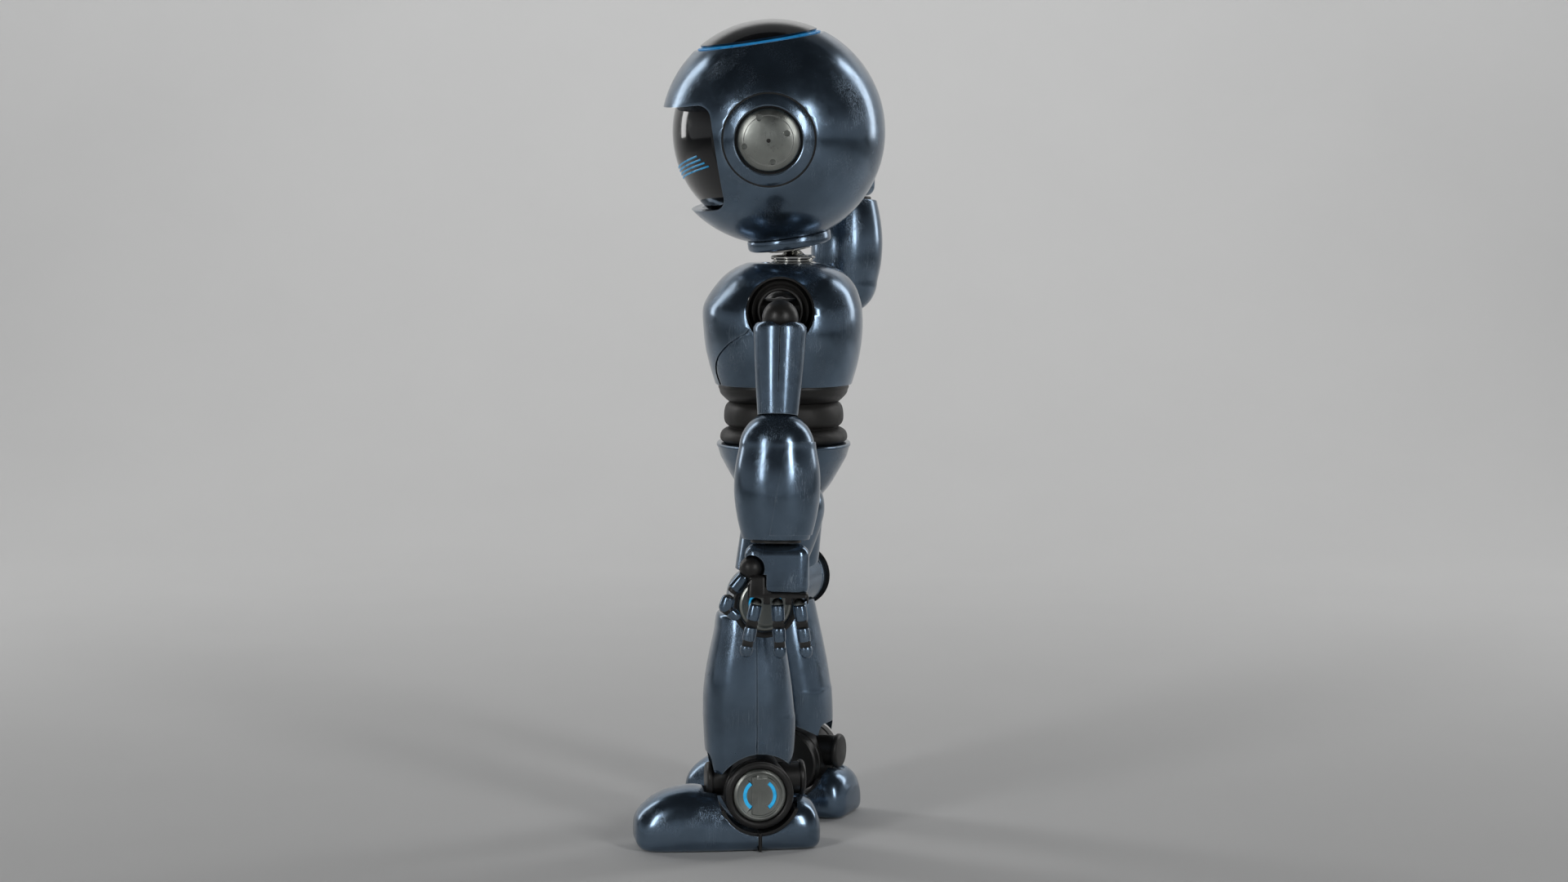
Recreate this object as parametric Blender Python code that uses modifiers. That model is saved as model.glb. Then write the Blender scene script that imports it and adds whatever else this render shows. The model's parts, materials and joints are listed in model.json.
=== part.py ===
# Desktop two-legged humanoid robot, left arm hanging and right forearm raised.
# It faces -Y, its left side is +X, and it stands on Z = 0 with its box centred on the origin.
# Lengths are millimetres and angles degrees; finish() turns the lengths into metres.
# Tables passed on with * hold, for a box: size, centre, bevel width, bevel segments;
# for a drum: radius, low end, high end, steps; for a slab of a sphere: see sphere_slab().
import math
from contextlib import contextmanager

import bpy
import bmesh
from mathutils import Matrix, Vector

for old in list(bpy.data.objects):
    bpy.data.objects.remove(old)

MM = 0.001
SHARP_ANGLE = 35     # edges sharper than this are not shaded smooth
SIDES = {"left": (1, "X"), "right": (-1, "-X")}   # sign of X, outward axis

# Resolution of the solids
HEAD_STEPS = 28
SHELL_POINTS = 24    # chest and pelvis
LOFT_POINTS = 20     # other lofts
LIMB_STEPS = 16
DISC_STEPS = 20
FINGER_STEPS = 8
THUMB_STEPS = 10

# Joints shared between sections
SHOULDER = (93.0, -2.6, 382.0)   # left shoulder ball
HIP_BALL_R = 28.5
# hip, knee, ankle, turn of the leg about Z
LEGS = {"left": ((41.0, 1.0, 243.0), (59.0, -17.0, 178.0), (60.0, -21.0, 41.0), 8.0),
        "right": ((-41.0, 1.0, 243.0), (-56.9, 3.1, 178.0), (-58.0, 10.0, 41.0), -21.0)}

COLLECTION = bpy.data.collections.new("humanoid_robot")
bpy.context.scene.collection.children.link(COLLECTION)


# ---------------------------------------------------------------- materials
def material(name, color, roughness, metallic=0.0):
    result = bpy.data.materials.new(name)
    result.use_nodes = True
    inputs = result.node_tree.nodes["Principled BSDF"].inputs
    inputs["Base Color"].default_value = (*color, 1)
    inputs["Roughness"].default_value = roughness
    inputs["Metallic"].default_value = metallic
    return result


PAINT = material("navy_paint", color=(0.035, 0.06, 0.11), roughness=0.32, metallic=0.75)
BLACK = material("black_plastic", color=(0.018, 0.018, 0.02), roughness=0.45)
RUBBER = material("black_rubber", color=(0.02, 0.019, 0.018), roughness=0.75)
GLASS = material("gloss_black", color=(0.008, 0.009, 0.012), roughness=0.06)
STEEL = material("steel", color=(0.42, 0.44, 0.42), roughness=0.3, metallic=1.0)
CHROME = material("chrome", color=(0.7, 0.7, 0.7), roughness=0.1, metallic=1.0)
LIGHT = material("cyan_light", color=(0.03, 0.3, 0.6), roughness=0.3)


# ---------------------------------------------------------------- solids
@contextmanager
def editing(mesh):
    bm = bmesh.new()
    bm.from_mesh(mesh)
    yield bm
    bm.to_mesh(mesh)
    bm.free()


def add_part(mesh):
    part = bpy.data.objects.new("part", mesh)
    COLLECTION.objects.link(part)
    return part


def bake(part):
    """Turn the modifiers into the mesh and weld what they leave behind."""
    bpy.context.view_layer.update()
    depsgraph = bpy.context.evaluated_depsgraph_get()
    mesh = bpy.data.meshes.new_from_object(part.evaluated_get(depsgraph))
    part.modifiers.clear()
    part.data = mesh
    with editing(mesh) as bm:
        bmesh.ops.remove_doubles(bm, verts=bm.verts, dist=0.004)
        bmesh.ops.dissolve_degenerate(bm, edges=bm.edges, dist=0.003)


def combine(part, operation, tools):
    for tool in tools:
        modifier = part.modifiers.new("boolean", "BOOLEAN")
        modifier.operation = operation
        modifier.object = tool
        modifier.solver = "EXACT"
        bake(part)
        bpy.data.objects.remove(tool)
    return part


def cut(part, *tools):
    return combine(part, "DIFFERENCE", tools)


def fuse(part, *tools):
    return combine(part, "UNION", tools)


def rotation(degrees, axis):
    return Matrix.Rotation(math.radians(degrees), 4, axis)


def place(part, matrix):
    part.data.transform(matrix)
    part.data.update()
    return part


AXIS_TURN = {"Z": Matrix.Identity(4), "X": rotation(90, "Y"), "-X": rotation(-90, "Y"),
             "Y": rotation(-90, "X"), "-Y": rotation(90, "X")}


def lathe(profile, steps=DISC_STEPS, axis="Z", at=(0, 0, 0)):
    """Turn a profile of (radius, height), listed from the top down its outer side."""
    mesh = bpy.data.meshes.new("part")
    edges = [(i, i + 1) for i in range(len(profile) - 1)]
    mesh.from_pydata([(radius, 0, z) for radius, z in profile], edges, [])
    part = add_part(mesh)
    screw = part.modifiers.new("screw", "SCREW")
    screw.axis = "Z"
    screw.steps = screw.render_steps = steps
    screw.use_merge_vertices = True
    screw.merge_threshold = 0.0001
    screw.use_normal_calculate = True
    bake(part)
    with editing(part.data) as bm:
        bmesh.ops.recalc_face_normals(bm, faces=bm.faces)
    return place(part, Matrix.Translation(at) @ AXIS_TURN[axis])


def drum(radius, low, high, steps=DISC_STEPS, axis="Z", at=(0, 0, 0), bevel=0.0):
    if bevel:
        profile = [(0, high), (radius - bevel, high), (radius, high - bevel),
                   (radius, low + bevel), (radius - bevel, low), (0, low)]
    else:
        profile = [(0, high), (radius, high), (radius, low), (0, low)]
    return lathe(profile, steps, axis, at)


def ball(radius, at=(0, 0, 0), around=24, down=14):
    mesh = bpy.data.meshes.new("part")
    with editing(mesh) as bm:
        bmesh.ops.create_uvsphere(bm, u_segments=around, v_segments=down, radius=radius)
    return place(add_part(mesh), Matrix.Translation(at))


def box(size, at=(0, 0, 0), bevel=0.0, segments=2):
    mesh = bpy.data.meshes.new("part")
    with editing(mesh) as bm:
        bmesh.ops.create_cube(bm, size=1)
        bmesh.ops.scale(bm, vec=size, verts=bm.verts)
    part = add_part(mesh)
    if bevel:
        modifier = part.modifiers.new("bevel", "BEVEL")
        modifier.width = bevel
        modifier.segments = segments
        modifier.limit_method = "NONE"
        bake(part)
    return place(part, Matrix.Translation(at))


def superellipse(count, half_x, half_y, power):
    """Counter-clockwise points; a power of 2 gives an ellipse."""
    points = []
    for i in range(count):
        angle = 2 * math.pi * i / count
        x, y = math.cos(angle), math.sin(angle)
        points.append((half_x * math.copysign(abs(x) ** (2 / power), x),
                       half_y * math.copysign(abs(y) ** (2 / power), y)))
    return points


def loft(sections):
    """Skin equal-length rings of 3-D points and cap both ends."""
    mesh = bpy.data.meshes.new("part")
    with editing(mesh) as bm:
        rows = [[bm.verts.new(point) for point in ring] for ring in sections]
        count = len(rows[0])
        for a, b in zip(rows, rows[1:]):
            for i in range(count):
                j = (i + 1) % count
                bm.faces.new((a[i], a[j], b[j], b[i]))
        bm.faces.new(list(reversed(rows[0])))
        bm.faces.new(rows[-1])
        bmesh.ops.recalc_face_normals(bm, faces=bm.faces)
    return add_part(mesh)


def loft_z(table, count=LOFT_POINTS, power=2.3):
    """Loft rows of height, front, back, half width."""
    return loft([[(x, (front + back) / 2 + y, z)
                  for x, y in superellipse(count, half_width, (back - front) / 2, power)]
                 for z, front, back, half_width in table])


def finish(name, part, surface, frame=Matrix.Identity(4)):
    """Name, paint and shade a piece, and take it from its own frame to the robot's."""
    mesh = part.data
    with editing(mesh) as bm:
        bmesh.ops.remove_doubles(bm, verts=bm.verts, dist=0.01)
    mesh.transform(Matrix.Scale(MM, 4) @ frame)
    mesh.materials.clear()
    mesh.materials.append(surface)
    mesh.shade_smooth()
    mesh.set_sharp_from_angle(angle=math.radians(SHARP_ANGLE))
    mesh.name = name
    part.name = name


def limb_frame(origin, z_axis, x_hint):
    z = Vector(z_axis).normalized()
    x = Vector(x_hint)
    x = (x - z * x.dot(z)).normalized()
    frame = Matrix((x, z.cross(x), z)).transposed().to_4x4()
    frame.translation = origin
    return frame


# ---------------------------------------------------------------- head, about its centre
HEAD_CENTRE = (7.0, -8.0, 513.0)
HEAD_PITCH, HEAD_ROLL, HEAD_YAW = 8.4, 5.0, -2.0
HEAD_FRAME = (Matrix.Translation(HEAD_CENTRE) @ rotation(HEAD_YAW, "Z")
              @ rotation(HEAD_ROLL, "Y") @ rotation(HEAD_PITCH, "X"))
HEAD_R = 81.5
HEAD_WALL = 6.5
HEAD_OUTSIDE = (HEAD_R, 66.0, -75.0, 12, HEAD_STEPS)
HEAD_INSIDE = (HEAD_R - HEAD_WALL, 67.0, -68.0, 8, HEAD_STEPS)

WINDOW_REAR = -38.7
WINDOW_TOP, WINDOW_BOTTOM = 30.2, -46.4
WINDOW_MID = (WINDOW_TOP + WINDOW_BOTTOM) / 2
WINDOW_WIDTH = 200
WINDOW_BEVEL = (7.0, 3)   # width, segments
VISOR_R = 73.0
VISOR_WALL = 3.5
VISOR_OUTSIDE = (VISOR_R, 64.0, -64.0, 8, HEAD_STEPS)
VISOR_INSIDE = (VISOR_R - VISOR_WALL, 66.0, -66.0, 8, 24)
VISOR_REAR = -26
VISOR_WIDTH, VISOR_HEIGHT = 120, 88
FRONT_DEPTH = 100         # length along Y of the boxes that shape window and visor

CROWN_Z = 68.0            # underside of the crown cap
CROWN_RIM = (43.2, CROWN_Z)
CROWN_ARC = (HEAD_R, HEAD_R - 1.0, 68.6, 3)
CROWN_LIGHT = [(36.0, 67.7), (44.2, 67.7), (44.2, 66.3), (36.0, 66.3), (36.0, 67.7)]

EAR_R = 22.6
EAR_STUB_R = 12.0
EAR_DISC = [(0, 81.2), (12, 80.3), (20.5, 78.2), (EAR_R, 76.2), (EAR_R, 75.9),
            (EAR_STUB_R, 75.9), (EAR_STUB_R, 64.0), (0, 64.0)]
EAR_RECESS = (EAR_R + 0.5, 75.5, 90, DISC_STEPS)
EAR_STUB_HOLE = (EAR_STUB_R + 1.0, 60.0, 80.0, 16)

COLLAR = (30.7, -83.6, -75.4, 24)
COLLAR_BEVEL = 1.5
CORE_BOX = ((54, 50, 60), (0, 6, -4), 4, 1)
CORE_STEM = (10, -67.5, -20, 16)


def sphere_arc(radius, top, bottom, steps):
    """Profile points down a sphere between two heights."""
    start, end = math.acos(top / radius), math.acos(bottom / radius)
    angles = [start + (end - start) * i / steps for i in range(steps + 1)]
    return [(radius * math.sin(angle), radius * math.cos(angle)) for angle in angles]


def sphere_slab(radius, top, bottom, steps_down, steps_round):
    arc = sphere_arc(radius, top, bottom, steps_down)
    return lathe([(0, top)] + arc + [(0, bottom)], steps_round)


def front_box(width, height, rear, *bevel):
    return box((width, FRONT_DEPTH, height), (0, rear - FRONT_DEPTH / 2, WINDOW_MID), *bevel)


def head_shell():
    tools = [sphere_slab(*HEAD_INSIDE),
             front_box(WINDOW_WIDTH, WINDOW_TOP - WINDOW_BOTTOM, WINDOW_REAR, *WINDOW_BEVEL)]
    for _, out in SIDES.values():
        tools += [drum(*EAR_RECESS, out), drum(*EAR_STUB_HOLE, out)]
    finish("head_shell", cut(sphere_slab(*HEAD_OUTSIDE), *tools), PAINT, HEAD_FRAME)


def visor():
    part = cut(sphere_slab(*VISOR_OUTSIDE), sphere_slab(*VISOR_INSIDE))
    combine(part, "INTERSECT", [front_box(VISOR_WIDTH, VISOR_HEIGHT, VISOR_REAR)])
    finish("visor", part, GLASS, HEAD_FRAME)


def crown():
    finish("crown_light_ring", lathe(CROWN_LIGHT, HEAD_STEPS), LIGHT, HEAD_FRAME)
    profile = [(0, HEAD_R)] + sphere_arc(*CROWN_ARC) + [CROWN_RIM, (0, CROWN_Z)]
    finish("crown_cap", lathe(profile, HEAD_STEPS), GLASS, HEAD_FRAME)


def head():
    head_shell()
    visor()
    crown()
    for side, (_, out) in SIDES.items():
        finish("ear_disc_" + side, lathe(EAR_DISC, axis=out), STEEL, HEAD_FRAME)
    finish("neck_collar", drum(*COLLAR, bevel=COLLAR_BEVEL), PAINT, HEAD_FRAME)
    finish("head_core", fuse(box(*CORE_BOX), drum(*CORE_STEM)), BLACK, HEAD_FRAME)


# ---------------------------------------------------------------- neck and torso
# Loft tables: height, front, back, half width
CHEST = [
    (418.0, -27.0, 25.0, 27.0), (414.5, -35.5, 37.0, 37.0), (409.0, -43.5, 46.0, 46.5),
    (401.0, -50.6, 52.2, 54.0), (392.0, -56.6, 55.6, 60.0), (384.0, -59.4, 57.2, 63.0),
    (371.0, -59.0, 57.6, 64.5), (356.0, -57.4, 56.2, 63.0), (342.0, -54.0, 53.3, 59.0),
    (330.0, -50.3, 49.7, 54.5)]
CHEST_WALL = 4.0
CAVITY_MOUTH = (325.0, -45.0, 44.5, 49.0)
CAVITY_POINTS = 16
CHEST_RING = [
    (329.6, -48.0, 47.4, 52.0), (326.0, -47.6, 47.0, 51.6),
    (319.5, -43.0, 42.6, 46.5), (317.4, -40.8, 40.4, 44.0)]
WAIST = [
    (317.0, -40.0, 39.6, 43.0), (314.5, -42.4, 42.0, 45.5), (309.0, -43.8, 43.4, 47.0),
    (303.0, -43.8, 43.4, 47.0), (299.6, -42.2, 41.8, 45.5), (298.4, -40.0, 39.6, 43.5),
    (297.2, -42.2, 41.8, 46.0), (294.5, -46.0, 45.6, 50.5), (290.5, -46.8, 46.4, 51.5),
    (288.2, -45.4, 45.0, 50.0), (287.4, -43.0, 42.5, 47.5)]
PELVIS = [
    (287.0, -48.6, 48.0, 60.0), (284.5, -49.2, 48.6, 60.6), (277.0, -46.5, 46.0, 59.0),
    (266.0, -40.5, 40.0, 54.0), (254.0, -33.0, 32.5, 46.0), (245.0, -24.0, 23.5, 36.0),
    (241.0, -15.0, 15.0, 24.0)]
HIP_HOLLOW_R = HIP_BALL_R + 2.0

NECK_Y = 6.6
NECK = [
    (0, 428.6), (4.0, 428.2), (7.0, 426.6), (9.0, 424.5), (14.5, 423.6), (16.5, 422.6),
    (16.5, 420.8), (14.6, 419.9), (14.6, 419.3), (17.3, 418.4), (17.3, 416.3),
    (15.0, 415.4), (15.0, 414.4), (0, 414.4)]
NECK_HOLE = (21.0, 414.0, 425.0)
NECK_HOLE_Y = NECK_Y - 2.0

SHOULDER_HOLE = (24.5, 35.0, 80.0, DISC_STEPS)
SHOULDER_HOLE_AT = (0, SHOULDER[1], 385.0)
# radius, distance from the middle plane
SHOULDER_BOOT = [(14.0, 46.0), (17.0, 46.0), (24.1, 44.0), (24.1, 37.0), (14.0, 37.0),
                 (14.0, 46.0)]
BATTERY_BODY = ((60, 52, 50), (0, 0, 366), 3, 1)
BATTERY_FOOT = ((30, 30, 13), (0, 0, 336.3))


def chest_shell():
    # the cavity follows every other station from the third down
    cavity = [(z, front + CHEST_WALL, back - CHEST_WALL, half_width - CHEST_WALL)
              for z, front, back, half_width in CHEST[2::2]]
    tools = [loft_z(cavity + [CAVITY_MOUTH], CAVITY_POINTS),
             drum(*NECK_HOLE, at=(0, NECK_HOLE_Y, 0))]
    tools += [drum(*SHOULDER_HOLE, out, SHOULDER_HOLE_AT) for _, out in SIDES.values()]
    finish("chest_shell", cut(loft_z(CHEST, SHELL_POINTS), *tools), PAINT)


def pelvis_shell():
    hollows = [ball(HIP_HOLLOW_R, LEGS[side][0], 16, 10) for side in SIDES]
    finish("pelvis_shell", cut(loft_z(PELVIS, SHELL_POINTS), *hollows), PAINT)


def torso():
    finish("neck", lathe(NECK, LIMB_STEPS, at=(0, NECK_Y, 0)), CHROME)
    chest_shell()
    for side, (_, out) in SIDES.items():
        boot = lathe(SHOULDER_BOOT, LIMB_STEPS, out, SHOULDER_HOLE_AT)
        finish("shoulder_boot_" + side, boot, RUBBER)
    finish("chest_ring", loft_z(CHEST_RING), BLACK)
    finish("battery", fuse(box(*BATTERY_BODY), box(*BATTERY_FOOT)), BLACK)
    finish("waist_bellows", loft_z(WAIST), RUBBER)
    pelvis_shell()


# ---------------------------------------------------------------- legs
KNEE_R, ANKLE_R = 21.5, 24.5
LEG_HALF = 27.0      # half width of the knee and ankle drums
RECESS_R = 19.6      # recess in a drum's outer end
RECESS_DEPTH = 2.6
# radius, height above the drum's outer end
KNEE_DISC = [(0, 1.2), (13.0, 1.2), (14.0, 0.4), (18.0, 0.4), (19.2, -0.8), (19.2, -2.3),
             (0, -2.3)]
ANKLE_DISC = [(0, -0.8), (10.5, -0.8), (11.5, 0.4), (17.5, 0.4), (19.2, -0.8), (19.2, -2.3),
              (0, -2.3)]

YOKE_BALL_R = 9.0
YOKE_PIN = (5.0, 4.0, 29.5, 8)
THIGH_TAPER = [(28.4, -9.0), (27.6, -19.0), (26.2, -31.0), (24.8, -43.0), (23.6, -52.0),
               (0, -52.0)]
THIGH_SQUASH = 0.88  # width over depth
THIGH_KNEE_CUT = (KNEE_R + 0.6, -40, 40, DISC_STEPS, "X")
YOKE_HOLLOW = [(0, 40), (31.0, 40), (11.5, 0), (11.5, -9.6), (0, -9.6)]
YOKE_HOLLOW_STEPS = 14

# height above the ankle, front, back, half width, before the lean toward the knee
SHIN = [
    (129.0, -25.5, 15.0, 20.5), (126.5, -27.5, 18.0, 23.5), (114.0, -29.5, 20.5, 26.5),
    (93.0, -34.0, 23.6, 29.0), (74.0, -36.8, 26.3, 30.0), (57.0, -37.3, 28.0, 30.2),
    (51.0, -37.2, 28.7, 30.0), (30.0, -36.0, 28.0, 29.2), (17.0, -34.0, 25.5, 28.0),
    (14.5, -33.0, 24.5, 27.2)]
SHIN_POWER = 2.5
SHIN_SETBACK = 4.0   # knee axis behind the leaning shin's own axis
SHIN_SLOT = ((28.6, 103, 40), (0, 0, 8.6), 6, 2)     # runs front to back at the bottom
SHIN_ANKLE_CUT = (ANKLE_R + 4.2, -50, 50, DISC_STEPS, "X")
SHIN_KNEE_CUT = (KNEE_R + 1.4, -50, 50, DISC_STEPS, "X")
KNEE_BACK_CUT = (80, 60, 60)
KNEE_BACK_Y, KNEE_BACK_RISE, KNEE_BACK_TILT = 44.0, 20.0, 14

ROLL_Z = 7.0         # height of the lengthwise cylinder above the ankle
ROLL = [(0, 36.0), (12.0, 35.0), (13.0, 34.0), (13.0, 30.5), (11.4, 30.0),
        (11.4, -30.0), (13.0, -30.5), (13.0, -34.0), (12.0, -35.0), (0, -36.0)]
ROLL_STEPS = 14

# Foot tables: Y from the ankle, height, half width, lift off the ground
TOE = [
    (-87.0, 17.0, 13.0, 6.0), (-84.5, 25.0, 18.0, 2.5), (-80.0, 31.5, 21.5, 0.8),
    (-72.0, 38.0, 24.5, 0.0), (-60.0, 42.5, 27.0, 0.0), (-46.0, 44.5, 28.5, 0.0),
    (-36.0, 43.0, 29.2, 0.0), (-20.0, 40.0, 29.5, 0.0), (-1.4, 38.0, 29.5, 0.0)]
HEEL = [
    (1.4, 38.0, 29.5, 0.0), (16.0, 38.0, 29.5, 0.0), (28.0, 37.5, 29.0, 0.0),
    (36.0, 35.0, 27.5, 0.0), (41.0, 30.0, 24.5, 0.8), (44.0, 22.0, 20.0, 2.5),
    (45.3, 15.0, 15.0, 6.0)]
FOOT_POWER = 2.6
FOOT_LOWER = 0.22    # share of the height below the widest line
SOLE_STRETCH = 1.25  # the lower half is stretched by this, then clipped flat
FOOT_ANKLE_CUT = (29.3, -60, 60, 32, "X")
FOOT_ROLL_CUT = (14.4, -38.5, 38.5, 24, "Y")


def hip_yoke(side, hip):
    part = fuse(ball(YOKE_BALL_R, hip, 10, 6), drum(*YOKE_PIN, at=hip))
    finish("hip_yoke_" + side, part, BLACK)


def thigh(side, hip, knee, turn):
    """A ball at the hip that tapers to a cap over the knee drum."""
    arc = [(HIP_BALL_R * math.sin(math.radians(angle)), HIP_BALL_R * math.cos(math.radians(angle)))
           for angle in range(0, 91, 18)]
    part = place(lathe(arc + THIGH_TAPER, LIMB_STEPS), Matrix.Diagonal((THIGH_SQUASH, 1, 1, 1)))
    place(part, limb_frame(hip, Vector(hip) - Vector(knee), turn @ Vector((1, 0, 0))))
    cut(part, place(drum(*THIGH_KNEE_CUT), Matrix.Translation(knee) @ turn),
        lathe(YOKE_HOLLOW, YOKE_HOLLOW_STEPS, at=hip))
    finish("thigh_" + side, part, PAINT)


def joint_drum(radius, out):
    floor = LEG_HALF - RECESS_DEPTH
    return lathe([(0, floor), (RECESS_R, floor), (RECESS_R, LEG_HALF), (radius - 1.0, LEG_HALF),
                  (radius, LEG_HALF - 1.0), (radius, 1.5 - LEG_HALF),
                  (radius - 1.5, -LEG_HALF), (0, -LEG_HALF)], axis=out)


def joint_disc(name, profile, out, frame):
    part = lathe([(radius, LEG_HALF + height) for radius, height in profile], axis=out)
    finish(name, part, STEEL, frame)


def shin_shell(side, knee, frame):
    """The knee is given in the ankle's frame."""
    lean = (knee.y - SHIN_SETBACK) / knee.z
    rows = [(z, front + lean * z, back + lean * z, half_width)
            for z, front, back, half_width in SHIN]
    back_cut_frame = (Matrix.Translation((0, KNEE_BACK_Y, knee.z + KNEE_BACK_RISE))
                      @ rotation(KNEE_BACK_TILT, "X"))
    part = cut(loft_z(rows, power=SHIN_POWER), box(*SHIN_SLOT), drum(*SHIN_ANKLE_CUT),
               drum(*SHIN_KNEE_CUT, knee), place(box(KNEE_BACK_CUT), back_cut_frame))
    finish("shin_shell_" + side, part, PAINT, frame)


def foot_ring(y, height, half_width, lift, ground):
    """Flat underneath, rounded over the top."""
    widest = ground + lift + FOOT_LOWER * height
    points = []
    for x, z in superellipse(LOFT_POINTS, half_width, 1.0, FOOT_POWER):
        if z >= 0:
            z *= (1 - FOOT_LOWER) * height
        else:
            z = max(-1.0, z * SOLE_STRETCH) * FOOT_LOWER * height
        points.append((x, y, widest + z))
    return points


def foot(side, ground, frame):
    """Toe and heel shells with a narrow slot between them."""
    for name, rows in (("foot_toe_", TOE), ("foot_heel_", HEEL)):
        part = cut(loft([foot_ring(*row, ground) for row in rows]),
                   drum(*FOOT_ANKLE_CUT), drum(*FOOT_ROLL_CUT, (0, 0, ROLL_Z)))
        finish(name + side, part, PAINT, frame)


def leg(side):
    hip, knee, ankle, turn_angle = LEGS[side]
    _, out = SIDES[side]
    turn = rotation(turn_angle, "Z")
    knee_frame = Matrix.Translation(knee) @ turn
    ankle_frame = Matrix.Translation(ankle) @ turn
    hip_yoke(side, hip)
    thigh(side, hip, knee, turn)
    finish("knee_drum_" + side, joint_drum(KNEE_R, out), PAINT, knee_frame)
    joint_disc("knee_disc_" + side, KNEE_DISC, out, knee_frame)
    shin_shell(side, turn.inverted() @ (Vector(knee) - Vector(ankle)), ankle_frame)
    block = fuse(joint_drum(ANKLE_R, out), lathe(ROLL, ROLL_STEPS, "-Y", (0, 0, ROLL_Z)))
    finish("ankle_drum_" + side, block, BLACK, ankle_frame)
    joint_disc("ankle_disc_" + side, ANKLE_DISC, out, ankle_frame)
    foot(side, -ankle[2], ankle_frame)


# ---------------------------------------------------------------- arms
# In an arm piece's own frame Z runs back up the limb and X lies along the elbow axis.
# direction down the upper arm, direction down the forearm, elbow axis
ARMS = {"left": ((14.0, -2.0, -77.5), (6.0, -1.0, -78.8), (1.0, 0.0, 0.0)),
        "right": ((-63.0, 43.0, 15.0), (-3.0, 3.0, 79.0), (-0.56, -0.83, 0.0))}
UPPER_LENGTH = 92.0  # shoulder ball to elbow
FORE_LENGTH = 66.0   # elbow to wrist
BALL_R = 12.8
SHAFT_R = 7.0
SHAFT_INNER = 40.0   # inner end, from the middle plane
SHAFT_SHORT = 4.0    # outer end, inward of the ball's centre
UPPER = [(0.0, -3.0), (14.0, -4.0), (18.0, -7.0), (18.8, -9.5), (17.8, -25.0),
         (16.3, -45.0), (14.8, -62.0), (13.9, -72.0), (13.4, -76.5), (0.0, -76.5)]
ELBOW_SOCKET_R = 27.3
UPPER_NOTCH = (10, 50, 10)
UPPER_NOTCH_X, UPPER_NOTCH_Z = 12, -3
FORE = [(0.0, 26.5), (8.2, 25.2), (15.6, 21.4), (20.5, 16.8), (24.0, 11.2), (26.0, 5.2),
        (26.6, 0.0), (28.2, -8.0), (29.3, -16.0), (29.7, -26.0), (29.2, -36.0),
        (26.9, -50.0), (23.8, -62.0), (22.6, -63.5), (0.0, -63.5)]
FORE_SQUASH = 0.92
RELIEF = [(0, 75), (20.5, 75), (16.2, 30), (15.6, 22.2), (0, 22.2)]
RELIEF_TURNS = (1.06, 0.9, 0.75, 0.6)   # shares of the elbow's bend
RELIEF_BEND = 40     # least bend that needs the relief

# Hand, from the wrist
HAND_SHELL = ((25, 45, 37), (0, 1.0, -19.0), 7.0, 3)
HAND_CUTS = [((40, 60, 20), (0, 0, -43.6)), ((40, 24.6, 31), (0, -18.3, -37.1))]
PALM_BAR = ((24.6, 42.6, 8.5), (0, 2.1, -38.3), 2.5, 2)
PALM_LEG = ((24.4, 12.8, 20.0), (0, -12.8, -32.2), 2.0, 1)
FINGERS = [(-13.2, 11.0), (1.8, -3.5), (16.9, -9.0)]   # Y and splay, from the thumb side
FINGER_R = 4.6
FINGER_Z = -42.4
FINGER_SLOT = (30, 2 * FINGER_R + 1.4, 9)
FINGER_SLOT_Z = -42.2
FINGER_BASE = [(0, 4.0), (2.6, 3.4), (3.9, 1.5), (3.9, -1.0), (FINGER_R, -2.0),
               (FINGER_R, -11.4), (3.6, -12.6), (0.5, -14.3), (0, -14.4)]
FINGER_TIP = [(0, -15.0), (0.5, -15.1), (3.6, -16.9), (4.3, -18.6), (4.3, -29.0),
              (3.4, -34.0), (1.6, -37.0), (0, -37.5)]
THUMB_X, THUMB_Y, THUMB_Z = 4.5, -16.8, -17.6   # thumb ball
THUMB_R = 8.4
THUMB_SOCKET_R = THUMB_R + 0.5
THUMB_TILT = 39.0    # lean of the first segment
THUMB_BEND = 21.0    # turn at its joint
THUMB_HOOK = 72.0    # turn of the hooked end
THUMB_LENGTH = 23.2  # ball to joint
THUMB_SWING = ((60, 11.6, 40), (0, 0, -26.0))   # clears the thumb's first segment
THUMB_BASE = [(0, -5.0), (4.4, -5.0), (5.0, -9.5), (5.0, -20.6), (3.4, -22.4), (0, -22.4)]
THUMB_TIP = [(0, -0.6), (1.5, -0.9), (4.4, -3.4), (4.8, -5.0), (4.8, -10.5), (3.9, -13.4),
             (0, -14.4)]
HOOK = [(0, 4.4), (3.0, 3.6), (4.1, 1.0), (4.0, -7.5), (2.8, -11.5), (0, -13.0)]
HOOK_Z = -10.6


def shoulder_ball(side, shoulder, out):
    shaft = drum(SHAFT_R, SHAFT_INNER, SHOULDER[0] - SHAFT_SHORT, 16, out,
                 (0, shoulder.y, shoulder.z))
    finish("shoulder_ball_" + side, fuse(ball(BALL_R, shoulder, 14, 8), shaft), BLACK)


def upper_arm(side, sign, frame):
    part = cut(lathe(UPPER, LIMB_STEPS), ball(BALL_R + 0.7, around=16, down=10),
               ball(ELBOW_SOCKET_R, (0, 0, -UPPER_LENGTH), 20, 14),
               box(UPPER_NOTCH, (-sign * UPPER_NOTCH_X, 0, UPPER_NOTCH_Z)))
    finish("upper_arm_" + side, part, PAINT, frame)


def forearm(side, upper_axis, frame):
    part = place(lathe(FORE), Matrix.Diagonal((FORE_SQUASH, 1, 1, 1)))
    local = frame.to_3x3().inverted() @ upper_axis
    bend = math.degrees(math.atan2(-local.y, local.z))
    if abs(bend) > RELIEF_BEND:
        # room for the upper arm as the elbow folds
        cut(part, *[place(lathe(RELIEF), rotation(bend * share, "X")) for share in RELIEF_TURNS])
    finish("forearm_" + side, part, PAINT, frame)


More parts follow.
